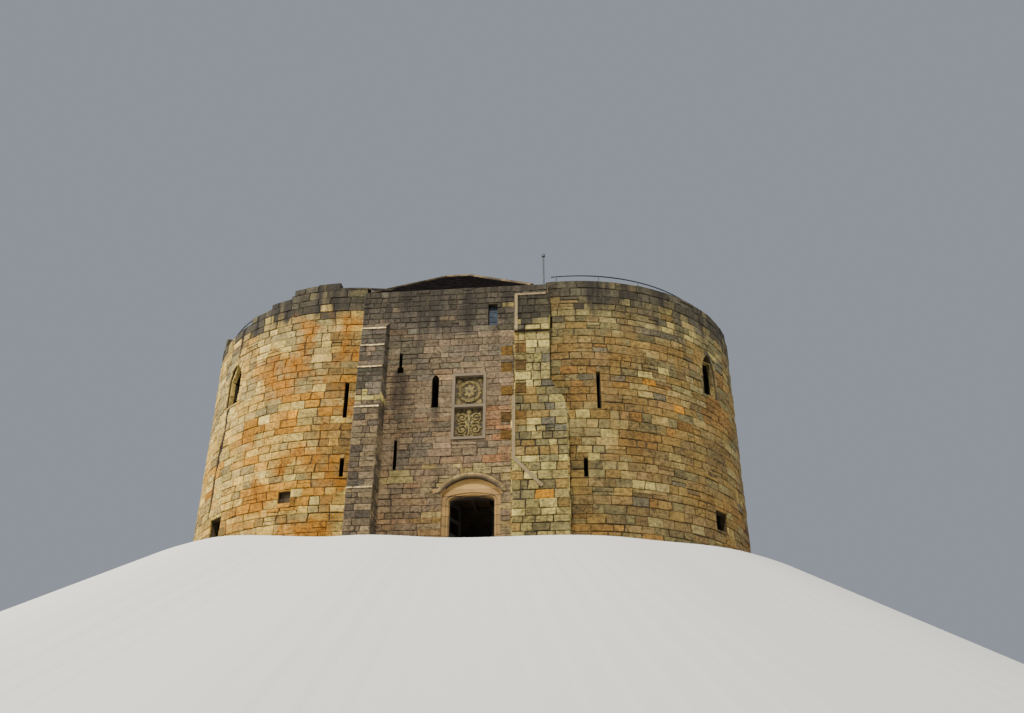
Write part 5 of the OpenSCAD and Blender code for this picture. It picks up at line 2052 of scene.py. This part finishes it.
# Studio


@dataclass(frozen=True)
class Camera:
    """The camera at the photograph's viewing angle, in the tower's frame."""

    place: Triple = (5.173, -39.76, -8.774)
    pitch: float = 28.41
    yaw: float = -5.755
    roll: float = 0.127
    lens: float = 34.39

    def build(self) -> None:
        """Makes it the scene's camera."""
        pitch, yaw, roll = (radians(a) for a in (self.pitch, self.yaw, self.roll))
        ahead = Vector((sin(yaw) * cos(pitch), cos(yaw) * cos(pitch), sin(pitch)))
        right = Vector((cos(yaw), -sin(yaw), 0.0))
        up = right.cross(ahead)
        right, up = cos(roll) * right + sin(roll) * up, cos(roll) * up - sin(roll) * right
        data = bpy.data.cameras.new("camera")
        data.lens, data.sensor_width, data.clip_end = self.lens, 36.0, 500.0
        camera, turned = show("camera", data), Matrix((right, up, -ahead)).transposed().to_4x4()
        camera.matrix_world = Matrix.Translation(Vector(self.place) + TOWER) @ turned
        bpy.context.scene.camera = camera


@dataclass(frozen=True)
class Studio:
    """A plain pale podium and floor, a large soft key light, fill and pale surroundings."""

    rim: tuple[Point, ...] = ((-180, 13.8), (-115, 14.9), (-100, 13.6), (-86, 12.95), (-64, 13.76), (-50, 14.2),
                              (0, 13.8))
    drop: float = 10.0
    floor_half_w: float = 400.0
    slope: float = 0.62
    key_power: float = 57000.0
    fill_power: float = 64000.0
    surround: float = 0.36

    def radius(self, angle: float) -> float:
        """The podium's radius.

        Args:
            angle: The direction, in degrees.

        Returns:
            The radius there.
        """
        angle = (angle + 180) % 360 - 180
        points = [*self.rim, (180, self.rim[0][1])]
        for (a0, r0), (a1, r1) in zip(points, points[1:]):
            if a0 <= angle <= a1:
                share = (angle - a0) / (a1 - a0)
                return r0 + (r1 - r0) * (1 - cos(pi * share)) / 2
        return points[0][1]

    def light(self, name: str, place: Triple, target: Triple, size: float, power: float, colour: Colour) -> None:
        """Adds a soft light that looks at a point.

        Args:
            name: Its name.
            place: Where it hangs.
            target: The point that it looks at.
            size: Its width.
            power: Its power in watts.
            colour: Its colour.
        """
        data = bpy.data.lights.new(name, "AREA")
        data.shape, data.size, data.energy, data.color = "DISK", size, power, colour
        lamp = show(name, data)
        lamp.location = place
        lamp.rotation_mode = "QUATERNION"
        lamp.rotation_quaternion = (Vector(target) - Vector(place)).to_track_quat("-Z", "Y")

    def ground(self) -> None:
        """Makes the podium, whose sides slope down to the floor, and the floor."""
        bm = bmesh.new()
        for vert in bmesh.ops.create_circle(bm, cap_ends=True, segments=180, radius=1.0)["verts"]:
            reach = self.radius(degrees(atan2(vert.co.y, vert.co.x)))
            vert.co = Vector((vert.co.x * reach, vert.co.y * reach + TOWER_Y, -0.002))
        grown = bmesh.ops.extrude_face_region(bm, geom=bm.faces[:], use_keep_orig=True)["geom"]
        for vert in (item for item in grown if isinstance(item, bmesh.types.BMVert)):
            spread = 1 + self.drop / self.slope / hypot(vert.co.x, vert.co.y - TOWER_Y)
            vert.co = Vector((vert.co.x * spread, (vert.co.y - TOWER_Y) * spread + TOWER_Y, -self.drop))
        bmesh.ops.recalc_face_normals(bm, faces=bm.faces)
        bmesh.ops.create_grid(bm, x_segments=1, y_segments=1, size=self.floor_half_w,
                              matrix=Matrix.Translation((0, 0, -self.drop)))
        mesh = bpy.data.meshes.new("pale_floor")
        bm.to_mesh(mesh)
        bm.free()
        mesh.materials.append(Plain("pale floor", tone(196, 196, 190)).material())
        floor = show("pale_floor", mesh)

    def build(self) -> None:
        """Makes the podium, the floor, the lights and the surroundings."""
        self.ground()
        self.light("key", (-2.0, -50.0, 50.0), (0.0, -4.0, 5.0), 6.0, self.key_power, (1.0, 0.94, 0.84))
        self.light("left fill", (-54.0, -28.0, 24.0), (-5.0, -4.0, 5.0), 30.0, self.fill_power,
                   (1.0, 0.96, 0.90))
        self.light("right fill", (56.0, -26.0, 22.0), (5.0, -4.0, 5.0), 30.0, self.fill_power * 0.3,
                   (0.97, 0.98, 1.0))
        world = bpy.data.worlds.new("pale surroundings")
        world.use_nodes = True
        back = world.node_tree.nodes["Background"]
        back.inputs["Color"].default_value = (0.80, 0.88, 1.0, 1.0)
        back.inputs["Strength"].default_value = self.surround
        bpy.context.scene.world = world


# The keep


def lobes() -> list[Lobe]:
    """Lists the four lobes with their openings, colours and parapets.

    Returns:
        The lobes, the front ones first.
    """
    def pair(upper: float, lower: float, low_z: float, **more: float) -> tuple[Hole, Hole]:
        """The tall and the short loop of a lobe."""
        return Hole(upper, 5.18, 0.14, 1.35, **more), Hole(lower, low_z, 0.14, 0.64)

    def side(pointed: float, splay: float) -> tuple[Hole, Hole]:
        """The pointed window of a lobe's side and the square opening under it."""
        return Hole(pointed, 6.62, 0.86, 1.70, Head.POINTED, splay), Hole(pointed + 1.5, 1.58, 0.68, 0.68)

    back = (*pair(270.0, 270.0, 2.76), *side(220.0, 0.20))
    broken = ((90, 212, 0.80), (212, 226, 0.30), (226, 234, 0.39), (234, 243.8, 0.62), (243.8, 252, 0.83),
              (252, 253.2, 0.94), (253.2, 262, 1.16), (262, 269.6, 1.22), (269.6, 360, 1.01))
    front_left = (
        *pair(275.0, 275.5, 3.05, notch=0.66), *side(228.0, 0.18),
        Hole(258.3, 2.22, 0.46, 0.40, through=False), Hole(262.4, 2.33, 0.07, 0.06, through=False),
    )
    front_right = (*pair(260.14, 264.9, 2.76), *side(216.0, 0.15), Hole(274.5, 8.31, 0.07, 0.41, through=False))
    left_cracks = (((228.6, 8.36), (229.4, 9.0), (230.5, 9.75)),
                   ((223.6, 2.6), (224.3, 3.6), (225.6, 5.3), (226.5, 6.5)))
    left_regions = (
        Region((4.75, 2.2), (5.95, 8.6), RUSTY, 0.75), Region((0.4, 4.6), (4.0, 5.6), ORANGE, 0.42),
        Region((-1.5, 2.6), (3.2, 4.3), ORANGE, 0.16),
        Region((2.2, 5.6), (3.2, 7.4), Palette(((OLIVE, 3), (BISCUIT, 2)))),
        Region((-3.0, 0.0), (5.9, 1.9), Palette(((ALE, 3), (OCHRE, 3), (BISCUIT, 2), (OLIVE, 1))), 0.5),
        Region((-1.2, 8.0), (0.2, 9.0), Palette(((OLIVE, 3), (LEAD, 2))), 0.5),
    )
    right_regions = (
        Region((-4.0, 1.2), (-3.0, 2.3), Palette(((seen(88, 66, 46), 2), (EMBER, 1))), 0.7),
        Region((0.5, 4.0), (3.4, 6.6), Palette(((EMBER, 3), (FLAME, 0.8), (UMBER, 3))), 0.32),
        Region((2.6, 6.6), (5.2, 7.6), Palette(((EMBER, 3), (ALE, 2), (UMBER, 2), (MOSS, 1))), 0.6),
        Region((3.2, 7.6), (5.6, 9.2), Palette(((MOSS, 3), (OLIVE, 3), (BISCUIT, 1))), 0.5),
        Region((-4.0, 0.0), (5.6, 2.4), Palette(((UMBER, 4), (EMBER, 1.5), (MOSS, 2))), 0.45),
    )
    return [
        Lobe("front_left", 1, (1.0, 1.0), 3.08, front_left, SUNNY, SUNNY_TOP, 10.02, left_regions, broken,
             left_cracks, PALE, 6.4),
        Lobe("front_right", 2, (-1.0, 1.0), 3.46, front_right, MELLOW, MELLOW_TOP, 10.02, right_regions),
        Lobe("back_left", 3, (1.0, -1.0), 0.0, back, MELLOW, MELLOW_TOP, 9.4),
        Lobe("back_right", 4, (-1.0, -1.0), 0.0, back, MELLOW, MELLOW_TOP, 9.4),
    ]


def main() -> None:
    """Builds the pieces in order."""
    logging.basicConfig(level=logging.INFO, format="%(name)s: %(message)s")
    dress = Dress()
    dress.apply()
    oak, iron = dress.made["oak"], dress.made["iron"]
    stone = LaidStone("laid stone", weather=(8.0, 10.1), weather_share=0.75, bloom_share=0.7).material()
    dark_stone = LaidStone("laid parapet stone", streaks=0.5, weather=(8.0, 9.4)).material()
    golden = LaidStone("laid golden stone", weather=(8.9, 9.7), weather_share=0.8, streaks=0.25,
                       bloom=seen(156, 108, 54), bloom_share=0.95, bloom_side=(-8.6, -6.0), light=0.86).material()
    # The last stain darkens the stones along the right buttress's ragged edge: partly weathering, partly painted
    # shade beside the projecting edge
    stains = (Stain(-1.62, 0.42, 3.6, 6.75, 0.9), Stain(-0.36, 0.26, 4.1, 5.35, 0.7),
              Stain(1.55, 0.3, 7.0, 8.4, 0.4), Stain(-0.9, 1.4, 7.6, 10.1, 0.3), Stain(3.72, 0.42, 4.6, 6.3, 0.7))
    gate_stone = LaidStone("laid gate stone", streaks=0.5, weather=(7.2, 9.8), weather_share=0.75, light=0.98,
                           stains=stains).material()
    for lobe in lobes():
        lobe.build(golden if lobe.name == "front_left" else stone, dark_stone)
    CourtCorners().build(stone)
    GateFront().build(gate_stone)
    # Pale stone with little streaking and no darkening at the top, a painted highlight on the buttress's nosing
    # fronts
    highlit_nosing_stone = LaidStone("pale laid stone", streaks=0.15, weather=(20.0, 21.0)).material()
    LeftButtress().build(gate_stone, highlit_nosing_stone)
    RightButtress().build(gate_stone)
    TiledRoof().build(RoofTile().material())
    CarvedPanels().build(dress.made["relief"])
    GlazedWindow().build(iron)
    FloorTimbers().build(dress.made["floor"])
    for side, body in ((-1, "left_leaf"), (1, "right_leaf")):
        LeafPegs().build(side, body, oak, iron)
    Camera().build()
    Studio().build()


if __name__ == "__main__":
    main()
